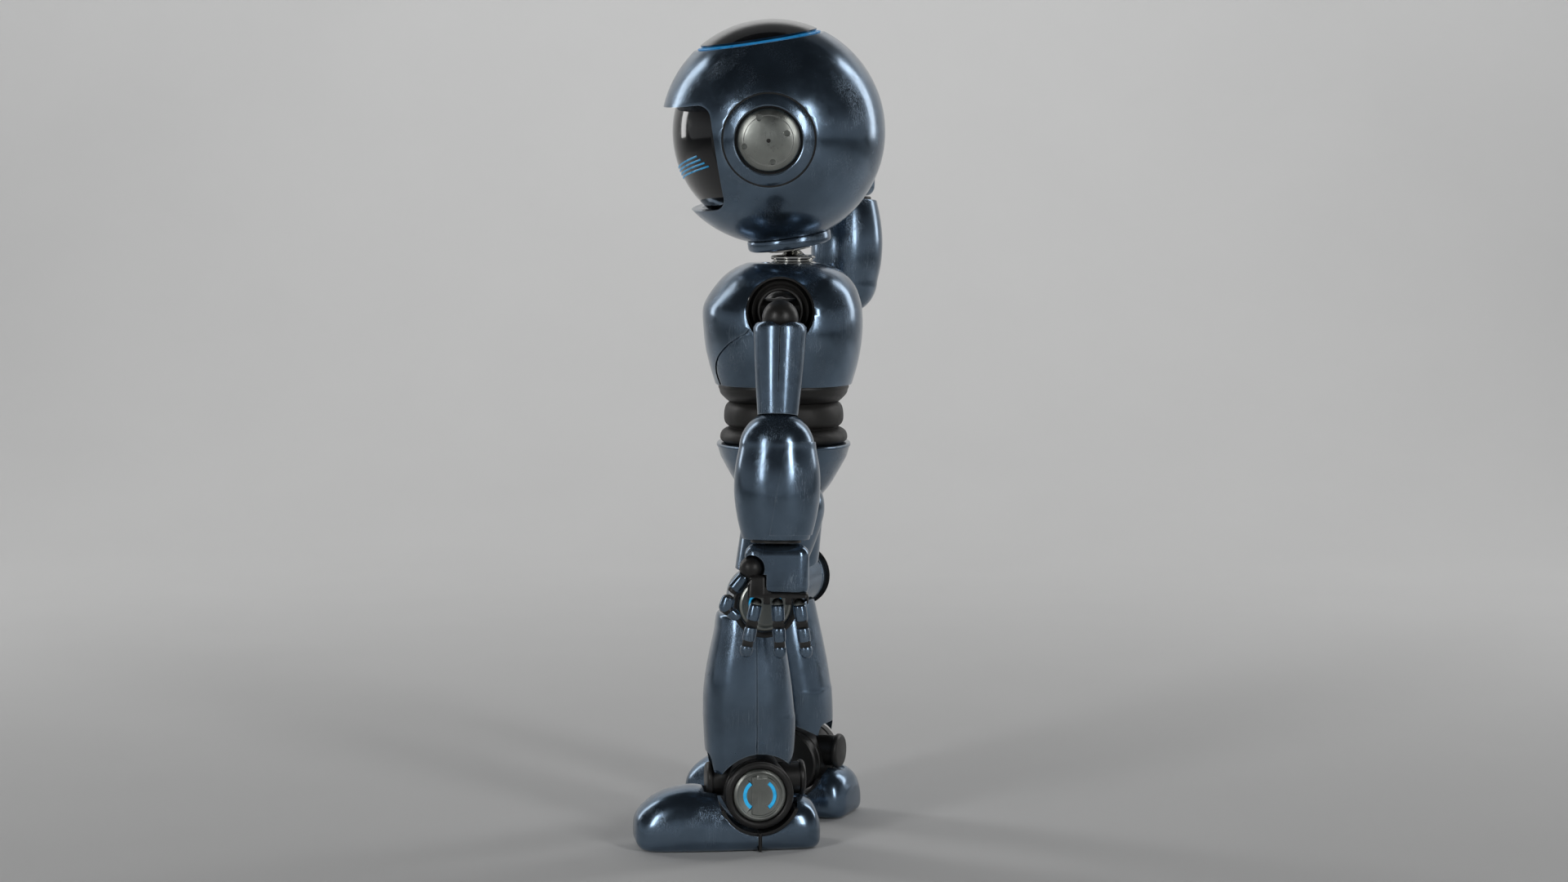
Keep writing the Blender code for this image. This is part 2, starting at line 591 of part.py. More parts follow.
def hand(side, sign, frame):
    """A round-topped shell over an L-shaped palm that carries the thumb's ball."""
    thumb_at = (THUMB_X * sign, THUMB_Y, THUMB_Z)
    thumb_frame = Matrix.Translation(thumb_at) @ rotation(-THUMB_TILT, "X")
    shell = cut(box(*HAND_SHELL), *[box(*table) for table in HAND_CUTS],
                ball(THUMB_SOCKET_R, thumb_at, 14, 10))
    finish("hand_shell_" + side, shell, PAINT, frame)
    palm = fuse(box(*PALM_BAR), box(*PALM_LEG))
    cut(palm, place(box(*THUMB_SWING), thumb_frame),
        *[box(FINGER_SLOT, (0, y, FINGER_SLOT_Z)) for y, _ in FINGERS])
    fuse(palm, ball(THUMB_R, thumb_at, 14, 10))
    finish("palm_" + side, palm, BLACK, frame)
    for i, (y, splay) in enumerate(FINGERS, 1):
        finger_frame = frame @ Matrix.Translation((0, y, FINGER_Z)) @ rotation(-splay, "X")
        for name, profile in (("base", FINGER_BASE), ("tip", FINGER_TIP)):
            finish(f"finger_{i}_{name}_{side}", lathe(profile, FINGER_STEPS), PAINT, finger_frame)
    thumb(side, frame @ thumb_frame)


def thumb(side, frame):
    base = cut(lathe(THUMB_BASE, THUMB_STEPS), ball(THUMB_SOCKET_R, around=14, down=10))
    finish("thumb_base_" + side, base, PAINT, frame)
    hook = place(lathe(HOOK, THUMB_STEPS),
                 Matrix.Translation((0, 0, HOOK_Z)) @ rotation(THUMB_HOOK, "X"))
    joint = Matrix.Translation((0, 0, -THUMB_LENGTH)) @ rotation(THUMB_BEND, "X")
    tip = fuse(lathe(THUMB_TIP, THUMB_STEPS), hook)
    finish("thumb_tip_" + side, tip, PAINT, frame @ joint)


def arm(side):
    sign, out = SIDES[side]
    upper_way, fore_way, elbow_axis = ARMS[side]
    upper_axis = -Vector(upper_way).normalized()
    fore_axis = -Vector(fore_way).normalized()
    shoulder = Vector((sign * SHOULDER[0], SHOULDER[1], SHOULDER[2]))
    elbow = shoulder - upper_axis * UPPER_LENGTH
    wrist = elbow - fore_axis * FORE_LENGTH
    shoulder_ball(side, shoulder, out)
    upper_arm(side, sign, limb_frame(shoulder, upper_axis, elbow_axis))
    forearm(side, upper_axis, limb_frame(elbow, fore_axis, elbow_axis))
    hand(side, sign, limb_frame(wrist, fore_axis, elbow_axis))


def stand_on_ground():
    """Centre the model's box on the origin in X and Y, with its lowest point on Z = 0."""
    meshes = [part.data for part in COLLECTION.objects]
    points = [vertex.co for mesh in meshes for vertex in mesh.vertices]
    low = [min(point[i] for point in points) for i in range(3)]
    high = [max(point[i] for point in points) for i in range(3)]
    shift = Matrix.Translation((-(low[0] + high[0]) / 2, -(low[1] + high[1]) / 2, -low[2]))
    for mesh in meshes:
        mesh.transform(shift)


head()
torso()
for each_side in SIDES:
    leg(each_side)
for each_side in SIDES:
    arm(each_side)
stand_on_ground()
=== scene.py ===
# Looks for the small humanoid robot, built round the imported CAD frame.
import json
import math
import bpy
import bmesh
from mathutils import Matrix, Vector

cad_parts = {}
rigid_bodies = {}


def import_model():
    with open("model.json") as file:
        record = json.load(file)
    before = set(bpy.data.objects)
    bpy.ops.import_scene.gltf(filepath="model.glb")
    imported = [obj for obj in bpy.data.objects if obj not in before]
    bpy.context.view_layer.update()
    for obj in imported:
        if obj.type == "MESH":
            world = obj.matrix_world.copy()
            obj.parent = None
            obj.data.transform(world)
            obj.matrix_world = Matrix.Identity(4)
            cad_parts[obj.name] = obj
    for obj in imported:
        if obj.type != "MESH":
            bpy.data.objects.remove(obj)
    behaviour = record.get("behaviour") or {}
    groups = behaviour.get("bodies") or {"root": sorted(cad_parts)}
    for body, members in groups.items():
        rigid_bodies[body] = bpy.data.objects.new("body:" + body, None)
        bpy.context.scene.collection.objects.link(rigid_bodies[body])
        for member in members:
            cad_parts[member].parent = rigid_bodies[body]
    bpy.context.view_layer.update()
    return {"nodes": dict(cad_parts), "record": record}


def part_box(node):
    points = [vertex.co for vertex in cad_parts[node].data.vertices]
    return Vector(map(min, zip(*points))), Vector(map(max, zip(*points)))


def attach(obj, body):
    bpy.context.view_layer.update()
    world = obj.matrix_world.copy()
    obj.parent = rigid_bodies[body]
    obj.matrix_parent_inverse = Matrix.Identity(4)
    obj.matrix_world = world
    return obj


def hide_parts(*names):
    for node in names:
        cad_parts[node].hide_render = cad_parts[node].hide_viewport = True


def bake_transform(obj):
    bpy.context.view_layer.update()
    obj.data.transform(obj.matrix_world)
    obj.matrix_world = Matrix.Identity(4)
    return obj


for old in list(bpy.data.objects):
    bpy.data.objects.remove(old)

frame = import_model()

MM = 0.001
GAP = 0.4            # clearance between neighbouring pieces

# resolution of the solids
N_HEAD = 28          # steps round the head
N_LOFT = 20          # points round the large lofted shells
N_LIMB = 16          # points round limbs
N_DISC = 20          # steps round discs and drums
N_SMALL = 8         # steps round fingers and pins

# head
HEAD_C = (7.0, -8.0, 513.0)
HEAD_R = 81.5
HEAD_WALL = 6.5
HEAD_PITCH, HEAD_ROLL, HEAD_YAW = 8.4, 5.0, -2.0
VISOR_FRONT = -38.7  # rear edge of the visor opening, head axes
VISOR_TOP, VISOR_BOTTOM = 30.2, -46.4
VISOR_R = 73.0
CROWN_Z = 68.0       # height of the plane that parts the crown cap
EAR_R = 33.0
EAR_DISC_R = 22.6
COLLAR_R, COLLAR_TOP, COLLAR_BOTTOM = 30.7, -75.4, -83.6

# torso: height, front, back, half width
CHEST = [(418.0, -27.0, 25.0, 27.0), (414.5, -35.5, 37.0, 37.0), (409.0, -43.5, 46.0, 46.5), (401.0, -50.6, 52.2, 54.0),
         (392.0, -56.6, 55.6, 60.0), (384.0, -59.4, 57.2, 63.0), (371.0, -59.0, 57.6, 64.5), (356.0, -57.4, 56.2, 63.0),
         (342.0, -54.0, 53.3, 59.0), (330.0, -50.3, 49.7, 54.5)]
CHEST_WALL = 4.0
NECK_R = 17.3
NECK_Y = 6.6
SHOULDER = (93.0, -2.6, 382.0)   # left shoulder ball
SHOULDER_HOLE_Z = 385.0
SHOULDER_HOLE_R = 24.5
BALL_R = 12.8
WAIST_Z = 302.0
PELVIS = [(287.0, -48.6, 48.0, 60.0), (284.5, -49.2, 48.6, 60.6), (277.0, -46.5, 46.0, 59.0), (266.0, -40.5, 40.0, 54.0),
          (254.0, -33.0, 32.5, 46.0), (245.0, -24.0, 23.5, 36.0), (241.0, -15.0, 15.0, 24.0)]

# legs, left then right: hip, knee, ankle, toe-out in degrees
HIP_BALL_R = 28.5
LEGS = {"left": ((41.0, 1.0, 243.0), (59.0, -17.0, 178.0), (60.0, -21.0, 41.0), 8.0),
        "right": ((-41.0, 1.0, 243.0), (-56.9, 3.1, 178.0), (-58.0, 10.0, 41.0), -21.0)}
KNEE_R, ANKLE_R = 21.5, 24.5
LEG_HALF = 27.0      # half width of the drums
NOTCH_R = 29.3       # hollow in the foot round the ankle drum

# arms, in the arm's own axes: Z runs back up the limb, X is the elbow axis
ARM_UPPER = 92.0     # shoulder ball to elbow
ARM_FORE = 66.0      # elbow to wrist
ARM_DIR = {"left": (14.0, -2.0, -77.5), "right": (-63.0, 43.0, 15.0)}
FORE_DIR = {"left": (6.0, -1.0, -78.8), "right": (-3.0, 3.0, 79.0)}
ELBOW_AXIS = {"left": (1.0, 0.0, 0.0), "right": (-0.56, -0.83, 0.0)}
UPPER = [(0.0, -3.0), (14.0, -4.0), (18.0, -7.0), (18.8, -9.5), (17.8, -25.0), (16.3, -45.0), (14.8, -62.0), (13.9, -72.0), (13.4, -76.5), (0.0, -76.5)]
FORE = [(0.0, 26.5), (8.2, 25.2), (15.6, 21.4), (20.5, 16.8), (24.0, 11.2), (26.0, 5.2), (26.6, 0.0), (28.2, -8.0), (29.3, -16.0), (29.7, -26.0),
        (29.2, -36.0), (26.9, -50.0), (23.8, -62.0), (22.6, -63.5), (0.0, -63.5)]
ELBOW_SOCKET_R = 27.3
FINGER_R = 4.6
FINGERS = [(-13.2, 11.0), (1.8, -3.5), (16.9, -9.0)]   # place along Y and splay in degrees, front to back

THUMB = (4.5, -16.8, -17.6)   # thumb ball in the hand
THUMB_R = 8.4
THUMB_TILT, THUMB_BEND, THUMB_HOOK = 39.0, 21.0, 72.0   # lean of the first segment, turn at its joint, turn of the hooked end
THUMB_LONG = 23.2    # ball to joint

COLLECTION = bpy.data.collections.new("looks")
bpy.context.scene.collection.children.link(COLLECTION)


def link(name, mesh):
    o = bpy.data.objects.new(name, mesh)
    COLLECTION.objects.link(o)
    return o


def bake(o):
    # turn the modifiers into the mesh
    bpy.context.view_layer.update()
    dg = bpy.context.evaluated_depsgraph_get()
    mesh = bpy.data.meshes.new_from_object(o.evaluated_get(dg))
    o.modifiers.clear()
    o.data = mesh
    bm = bmesh.new()
    bm.from_mesh(mesh)
    bmesh.ops.remove_doubles(bm, verts=bm.verts, dist=0.004)
    bmesh.ops.dissolve_degenerate(bm, edges=bm.edges, dist=0.003)
    bm.to_mesh(mesh)
    bm.free()
    return o


def boolean(o, tools, op="DIFFERENCE"):
    for t in tools:
        m = o.modifiers.new("b", "BOOLEAN")
        m.operation, m.object, m.solver = op, t, "EXACT"
        bake(o)
        bpy.data.objects.remove(t)
    return o


def cut(o, *tools):
    return boolean(o, tools)


def fuse(o, *tools):
    return boolean(o, tools, "UNION")


def place(o, m):
    o.data.transform(m)
    o.data.update()
    return o


def lathe(profile, n=N_DISC, axis="Z", at=(0, 0, 0)):
    # profile of (radius, height), run down its outer side; both ends on the axis
    me = bpy.data.meshes.new("p")
    me.from_pydata([(r, 0, z) for r, z in profile], [(i, i + 1) for i in range(len(profile) - 1)], [])
    o = link("lathe", me)
    s = o.modifiers.new("s", "SCREW")
    s.axis, s.steps, s.render_steps = "Z", n, n
    s.use_merge_vertices, s.merge_threshold = True, 0.0001
    s.use_normal_calculate = True
    bake(o)
    bm = bmesh.new()
    bm.from_mesh(o.data)
    bmesh.ops.recalc_face_normals(bm, faces=bm.faces)
    bm.to_mesh(o.data)
    bm.free()
    turn = {"Z": Matrix.Identity(4), "X": Matrix.Rotation(math.pi / 2, 4, "Y"), "-X": Matrix.Rotation(-math.pi / 2, 4, "Y"),
            "Y": Matrix.Rotation(-math.pi / 2, 4, "X"), "-Y": Matrix.Rotation(math.pi / 2, 4, "X")}[axis]
    return place(o, Matrix.Translation(Vector(at)) @ turn)


def drum(r, a, b, n=N_DISC, axis="Z", at=(0, 0, 0), bev=0.0):
    p = [(0, b), (r - bev, b), (r, b - bev), (r, a + bev), (r - bev, a), (0, a)] if bev else [(0, b), (r, b), (r, a), (0, a)]
    return lathe(p, n, axis, at)


def ball(r, at=(0, 0, 0), u=24, v=14, scale=(1, 1, 1)):
    bm = bmesh.new()
    bmesh.ops.create_uvsphere(bm, u_segments=u, v_segments=v, radius=r)
    me = bpy.data.meshes.new("s")
    bm.to_mesh(me)
    bm.free()
    o = link("ball", me)
    return place(o, Matrix.Translation(Vector(at)) @ Matrix.Diagonal((*scale, 1)))


def box(size, at=(0, 0, 0), bev=0.0, seg=2, turn=None):
    bm = bmesh.new()
    bmesh.ops.create_cube(bm, size=1)
    bmesh.ops.scale(bm, vec=size, verts=bm.verts)
    me = bpy.data.meshes.new("c")
    bm.to_mesh(me)
    bm.free()
    o = link("box", me)
    if bev:
        m = o.modifiers.new("v", "BEVEL")
        m.width, m.segments, m.limit_method = bev, seg, "NONE"
        bake(o)
    return place(o, Matrix.Translation(Vector(at)) @ (turn or Matrix.Identity(4)))


def ring_points(n, half_a, half_b, p):
    # superellipse, counter-clockwise; p = 2 is an ellipse
    out = []
    for i in range(n):
        t = 2 * math.pi * i / n
        c, s = math.cos(t), math.sin(t)
        out.append((half_a * math.copysign(abs(c) ** (2 / p), c), half_b * math.copysign(abs(s) ** (2 / p), s)))
    return out


def loft(sections):
    # sections: equal-length rings of 3-D points, each counter-clockwise seen from the last one
    bm = bmesh.new()
    rows = [[bm.verts.new(p) for p in ring] for ring in sections]
    n = len(rows[0])
    for a, b in zip(rows, rows[1:]):
        for i in range(n):
            bm.faces.new((a[i], a[(i + 1) % n], b[(i + 1) % n], b[i]))
    bm.faces.new(list(reversed(rows[0])))
    bm.faces.new(rows[-1])
    bmesh.ops.recalc_face_normals(bm, faces=bm.faces)
    me = bpy.data.meshes.new("l")
    bm.to_mesh(me)
    bm.free()
    return link("loft", me)


def loft_z(table, n=N_LOFT, p=2.3, grow=0.0):
    # table rows: height, front, back, half width (and an optional centre x)
    rings = []
    for row in table:
        z, f, b, w = row[:4]
        cx = row[4] if len(row) > 4 else 0.0
        rings.append([(cx + x, (f + b) / 2 + y, z) for x, y in ring_points(n, w + grow, (b - f) / 2 + grow, p)])
    return loft(rings)


def basis(origin, z, x_hint):
    z = Vector(z).normalized()
    x = Vector(x_hint)
    x = (x - z * x.dot(z)).normalized()
    y = z.cross(x)
    m = Matrix((x, y, z)).transposed().to_4x4()
    m.translation = Vector(origin)
    return m

# the frame's own offset: the neck stands on the model's middle line
_lo, _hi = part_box("neck")
SHIFT = Vector(((_lo.x + _hi.x) / 2, (_lo.y + _hi.y) / 2 - NECK_Y * MM, 0.0))
S = Matrix.Translation(SHIFT)


# ---------------------------------------------------------------- materials
def nodes_of(name):
    m = bpy.data.materials.new(name)
    m.use_nodes = True
    nt = m.node_tree
    return m, nt, nt.nodes["Principled BSDF"]


def add(nt, kind, **inputs):
    n = nt.nodes.new(kind)
    for k, v in inputs.items():
        key = k.replace("_", " ")
        if key in n.inputs:
            n.inputs[key].default_value = v
        else:
            setattr(n, k, v)
    return n


def ramp(nt, src, a, b, lo=0.0, hi=1.0):
    n = nt.nodes.new("ShaderNodeMapRange")
    n.inputs["From Min"].default_value, n.inputs["From Max"].default_value = a, b
    n.inputs["To Min"].default_value, n.inputs["To Max"].default_value = lo, hi
    nt.links.new(src, n.inputs["Value"])
    return n.outputs["Result"]


def math_node(nt, op, a, b):
    n = nt.nodes.new("ShaderNodeMath")
    n.operation = op
    for i, v in enumerate((a, b)):
        if isinstance(v, (int, float)):
            n.inputs[i].default_value = v
        else:
            nt.links.new(v, n.inputs[i])
    return n.outputs[0]


def scratches(nt, coord, turn, scale, width, seed):
    # hairlines: one axis stretched far beyond the others, broken up by a second noise
    mp = nt.nodes.new("ShaderNodeMapping")
    mp.inputs["Rotation"].default_value = turn
    mp.inputs["Location"].default_value = (seed, seed * 1.7, seed * 0.6)
    mp.inputs["Scale"].default_value = (scale, scale, scale * 0.018)
    nt.links.new(coord, mp.inputs["Vector"])
    warp = add(nt, "ShaderNodeTexNoise", Scale=9.0, Detail=1.0)
    nt.links.new(coord, warp.inputs["Vector"])
    mix = nt.nodes.new("ShaderNodeVectorMath")
    mix.operation = "MULTIPLY_ADD"
    nt.links.new(warp.outputs["Color"], mix.inputs[0])
    mix.inputs[1].default_value = (scale * 0.004,) * 3
    nt.links.new(mp.outputs["Vector"], mix.inputs[2])
    nz = add(nt, "ShaderNodeTexNoise", Scale=1.0, Detail=0.0)
    nt.links.new(mix.outputs[0], nz.inputs["Vector"])
    line = ramp(nt, math_node(nt, "ABSOLUTE", math_node(nt, "SUBTRACT", nz.outputs["Fac"], 0.5), 0.0), 0.0, width, 1.0, 0.0)
    mask = add(nt, "ShaderNodeTexNoise", Scale=38.0, Detail=2.0)
    nt.links.new(coord, mask.inputs["Vector"])
    return math_node(nt, "MULTIPLY", line, ramp(nt, mask.outputs["Fac"], 0.5, 0.66))


def finish_material(name, colour, rough, metal, scratch_and_edge_highlight_colour=(0.5, 0.55, 0.6), edge_highlight_amount=0.6, coat=0.0, grain=0.0005, scratch=1.0, colour_var=0.25, rough_var=0.08, bevel=0.0007, grain_scale=2600.0, tint=None):
    m, nt, b = nodes_of(name)
    co = nt.nodes.new("ShaderNodeTexCoord").outputs["Object"]
    big = add(nt, "ShaderNodeTexNoise", Scale=22.0, Detail=4.0, Roughness=0.6)
    nt.links.new(co, big.inputs["Vector"])
    fine = add(nt, "ShaderNodeTexNoise", Scale=grain_scale, Detail=1.0)
    nt.links.new(co, fine.inputs["Vector"])
    smudge = add(nt, "ShaderNodeTexNoise", Scale=70.0, Detail=5.0, Roughness=0.7)
    nt.links.new(co, smudge.inputs["Vector"])
    s1 = scratches(nt, co, (0.3, 0.9, 0.2), 900.0, 0.012, 1.3)
    s2 = scratches(nt, co, (1.9, 0.2, 1.1), 1100.0, 0.010, 5.1)
    s3 = scratches(nt, co, (0.8, 2.3, 0.5), 700.0, 0.010, 9.7)
    lines = math_node(nt, "MAXIMUM", math_node(nt, "MAXIMUM", s1, s2), s3)
    # edges: where a rounded normal leaves the flat one, a lighter colour is painted on as an edge highlight
    geo = nt.nodes.new("ShaderNodeNewGeometry")
    bev = nt.nodes.new("ShaderNodeBevel")
    bev.samples = 4
    bev.inputs["Radius"].default_value = bevel
    dot = nt.nodes.new("ShaderNodeVectorMath")
    dot.operation = "DOT_PRODUCT"
    nt.links.new(bev.outputs["Normal"], dot.inputs[0])
    nt.links.new(geo.outputs["Normal"], dot.inputs[1])
    edge_highlight_mask = ramp(nt, dot.outputs["Value"], 0.985, 0.80)
    patch = ramp(nt, smudge.outputs["Fac"], 0.35, 0.6, 0.25, 1.0)
    # painted edge highlight, broken up by noise, plus the scratch lines as real wear
    scratch_and_edge_highlight = math_node(nt, "MULTIPLY", math_node(nt, "MULTIPLY", edge_highlight_mask, patch), edge_highlight_amount)
    scratch_and_edge_highlight = math_node(nt, "MAXIMUM", scratch_and_edge_highlight, math_node(nt, "MULTIPLY", lines, 0.35 * scratch))
    mixc = nt.nodes.new("ShaderNodeMix")
    mixc.data_type = "RGBA"
    lo = tuple(c * (1 - colour_var) for c in colour)
    hi = tuple(min(1, c * (1 + colour_var)) for c in colour)
    base = nt.nodes.new("ShaderNodeMix")
    base.data_type = "RGBA"
    base.inputs[6].default_value, base.inputs[7].default_value = (*lo, 1), (*(tint or hi), 1)
    nt.links.new(ramp(nt, big.outputs["Fac"], 0.3, 0.7), base.inputs[0])
    nt.links.new(base.outputs[2], mixc.inputs[6])
    mixc.inputs[7].default_value = (*scratch_and_edge_highlight_colour, 1)
    nt.links.new(scratch_and_edge_highlight, mixc.inputs[0])
    nt.links.new(mixc.outputs[2], b.inputs["Base Color"])
    r = math_node(nt, "ADD", ramp(nt, smudge.outputs["Fac"], 0.3, 0.7, rough - rough_var, rough + rough_var), math_node(nt, "MULTIPLY", lines, 0.25 * scratch))
    nt.links.new(r, b.inputs["Roughness"])
    b.inputs["Metallic"].default_value = metal
    b.inputs["Coat Weight"].default_value = coat
    b.inputs["Coat Roughness"].default_value = 0.08
    height = math_node(nt, "SUBTRACT", math_node(nt, "MULTIPLY", fine.outputs["Fac"], 0.25), lines if scratch else 0.0)
    bump = add(nt, "ShaderNodeBump", Strength=0.35, Distance=grain)
    nt.links.new(height, bump.inputs["Height"])
    nt.links.new(bump.outputs["Normal"], b.inputs["Normal"])
    return m


# each finish's third colour is both the painted edge highlight and the scratch wear colour
PAINT = finish_material("paint_navy", (0.130, 0.185, 0.252), 0.21, 0.9, (0.50, 0.58, 0.66), 0.85, 0.25, 0.00006)
BLACK = finish_material("plastic_black", (0.013, 0.0125, 0.012), 0.40, 0.0, (0.06, 0.06, 0.06), 0.5, 0.0, 0.00008, 0.4, rough_var=0.1)
RUBBER = finish_material("rubber_black", (0.016, 0.015, 0.0135), 0.55, 0.0, (0.05, 0.048, 0.045), 0.5, 0.0, 0.00018, 0.15, rough_var=0.1, grain_scale=1500.0)
GLASS = finish_material("visor_black", (0.006, 0.006, 0.007), 0.09, 0.0, (0.03, 0.03, 0.035), 0.25, 0.4, 0.00002, 0.25, rough_var=0.03)
STEEL = finish_material("steel_brushed", (0.30, 0.315, 0.295), 0.33, 1.0, (0.72, 0.72, 0.70), 0.8, 0.0, 0.00006, 1.0, rough_var=0.1)
CHROME = finish_material("chrome_bright", (0.55, 0.55, 0.53), 0.14, 1.0, (0.8, 0.8, 0.8), 0.3, 0.0, 0.00003, 0.5, rough_var=0.05)


def light_material(name, a, c, glow):
    m, nt, b = nodes_of(name)
    co = nt.nodes.new("ShaderNodeTexCoord").outputs["Object"]
    nz = add(nt, "ShaderNodeTexNoise", Scale=160.0, Detail=3.0)
    nt.links.new(co, nz.inputs["Vector"])
    mix = nt.nodes.new("ShaderNodeMix")
    mix.data_type = "RGBA"
    mix.inputs[6].default_value, mix.inputs[7].default_value = (*a, 1), (*c, 1)
    nt.links.new(nz.outputs["Fac"], mix.inputs[0])
    nt.links.new(mix.outputs[2], b.inputs["Base Color"])
    nt.links.new(mix.outputs[2], b.inputs["Emission Color"])
    nt.links.new(ramp(nt, nz.outputs["Fac"], 0.3, 0.7, glow * 0.85, glow * 1.15), b.inputs["Emission Strength"])
    nt.links.new(ramp(nt, nz.outputs["Fac"], 0.3, 0.7, 0.22, 0.4), b.inputs["Roughness"])
    return m


LIGHT = light_material("light_cyan", (0.012, 0.25, 0.50), (0.03, 0.34, 0.62), 0.75)
CROWN_LIGHT = light_material("light_blue", (0.006, 0.105, 0.25), (0.014, 0.150, 0.34), 0.8)
VISOR_LIGHT = light_material("light_visor", (0.004, 0.13, 0.27), (0.012, 0.19, 0.37), 0.65)
CAD_MATERIAL = {"navy_paint": PAINT, "black_plastic": BLACK, "black_rubber": RUBBER, "gloss_black": GLASS, "steel": STEEL, "chrome": CHROME, "cyan_light": LIGHT}
for sub in frame["record"]["subparts"]:
    o = frame["nodes"][sub["node"]]
    o.data.materials.clear()
    o.data.materials.append(CAD_MATERIAL[sub["material_slot"]])


def put(name, o, mat, body, m=None, rep=None, angle=32, bev=0.0, seg=2):
    # a visual piece: millimetres to metres, material, smooth shading, riding body, and the CAD nodes it stands for
    if bev:
        v = o.modifiers.new("v", "BEVEL")
        v.width, v.segments, v.limit_method, v.angle_limit = bev, seg, "ANGLE", math.radians(40)
        v.use_clamp_overlap = True
        bake(o)
    full = S @ Matrix.Scale(MM, 4) @ (m or Matrix.Identity(4))
    me = o.data
    me.transform(full)
    if full.determinant() < 0:
        me.flip_normals()
    me.materials.clear()
    me.materials.append(mat)
    me.shade_smooth()
    me.set_sharp_from_angle(angle=math.radians(angle))
    o.name = name
    me.name = name
    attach(o, body)
    if rep:
        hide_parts(*([rep] if isinstance(rep, str) else rep))
    return o


def wire(points, r, mat, name, body, m=None, res=3, flat=1.0):
    # a round-section line through points, with closed ends
    cu = bpy.data.curves.new(name, "CURVE")
    cu.dimensions = "3D"
    sp = cu.splines.new("POLY")
    sp.points.add(len(points) - 1)
    for i, p in enumerate(points):
        sp.points[i].co = (*p, 1)
    cu.bevel_depth, cu.bevel_resolution, cu.use_fill_caps = r, res, True
    tmp = bpy.data.objects.new(name + "_c", cu)
    COLLECTION.objects.link(tmp)
    bpy.context.view_layer.update()
    me = bpy.data.meshes.new_from_object(tmp.evaluated_get(bpy.context.evaluated_depsgraph_get()))
    bpy.data.objects.remove(tmp)
    bm = bmesh.new()
    bm.from_mesh(me)
    bmesh.ops.remove_doubles(bm, verts=bm.verts, dist=0.002)
    bm.to_mesh(me)
    bm.free()
    return put(name, link(name, me), mat, body, m)


def dense(table, k):
    # more rows by a smooth spline through the given ones
    out = []
    n = len(table)
    for i in range(n - 1):
        p0, p1, p2, p3 = table[max(i - 1, 0)], table[i], table[i + 1], table[min(i + 2, n - 1)]
        for j in range(k):
            t = j / k
            out.append(tuple(0.5 * (2 * b + (c - a) * t + (2 * a - 5 * b + 4 * c - d) * t * t + (3 * b - a - 3 * c + d) * t ** 3) for a, b, c, d in zip(p0, p1, p2, p3)))
    out.append(tuple(table[-1]))
    return out


def washer(r0, r1, a, b, n=64, axis="Z", at=(0, 0, 0), bev=0.0):
    if bev:
        p = [(r0, b - bev), (r0 + bev, b), (r1 - bev, b), (r1, b - bev), (r1, a), (r0, a), (r0, b - bev)]
    else:
        p = [(r0, b), (r1, b), (r1, a), (r0, a), (r0, b)]
    return lathe(p, n, axis, at)


def arc_points(r, a0, a1, x, n=14):
    # an arc about the X axis at distance x, angles from +Z towards -Y
    return [(x, -r * math.sin(math.radians(a0 + (a1 - a0) * i / n)), r * math.cos(math.radians(a0 + (a1 - a0) * i / n))) for i in range(n + 1)]


# ---------------------------------------------------------------- head
HEAD_M = (Matrix.Translation(HEAD_C) @ Matrix.Rotation(math.radians(HEAD_YAW), 4, "Z")
          @ Matrix.Rotation(math.radians(HEAD_ROLL), 4, "Y") @ Matrix.Rotation(math.radians(HEAD_PITCH), 4, "X"))


def sphere_profile(r, top, bottom, n):
    a, b = math.acos(top / r), math.acos(bottom / r)
    return [(r * math.sin(a + (b - a) * i / n), r * math.cos(a + (b - a) * i / n)) for i in range(n + 1)]


def on_visor(r, az, u):
    # a point on the visor: azimuth from straight ahead towards +X, height u
    h = math.sqrt(r * r - u * u)
    return (h * math.sin(math.radians(az)), -h * math.cos(math.radians(az)), u)


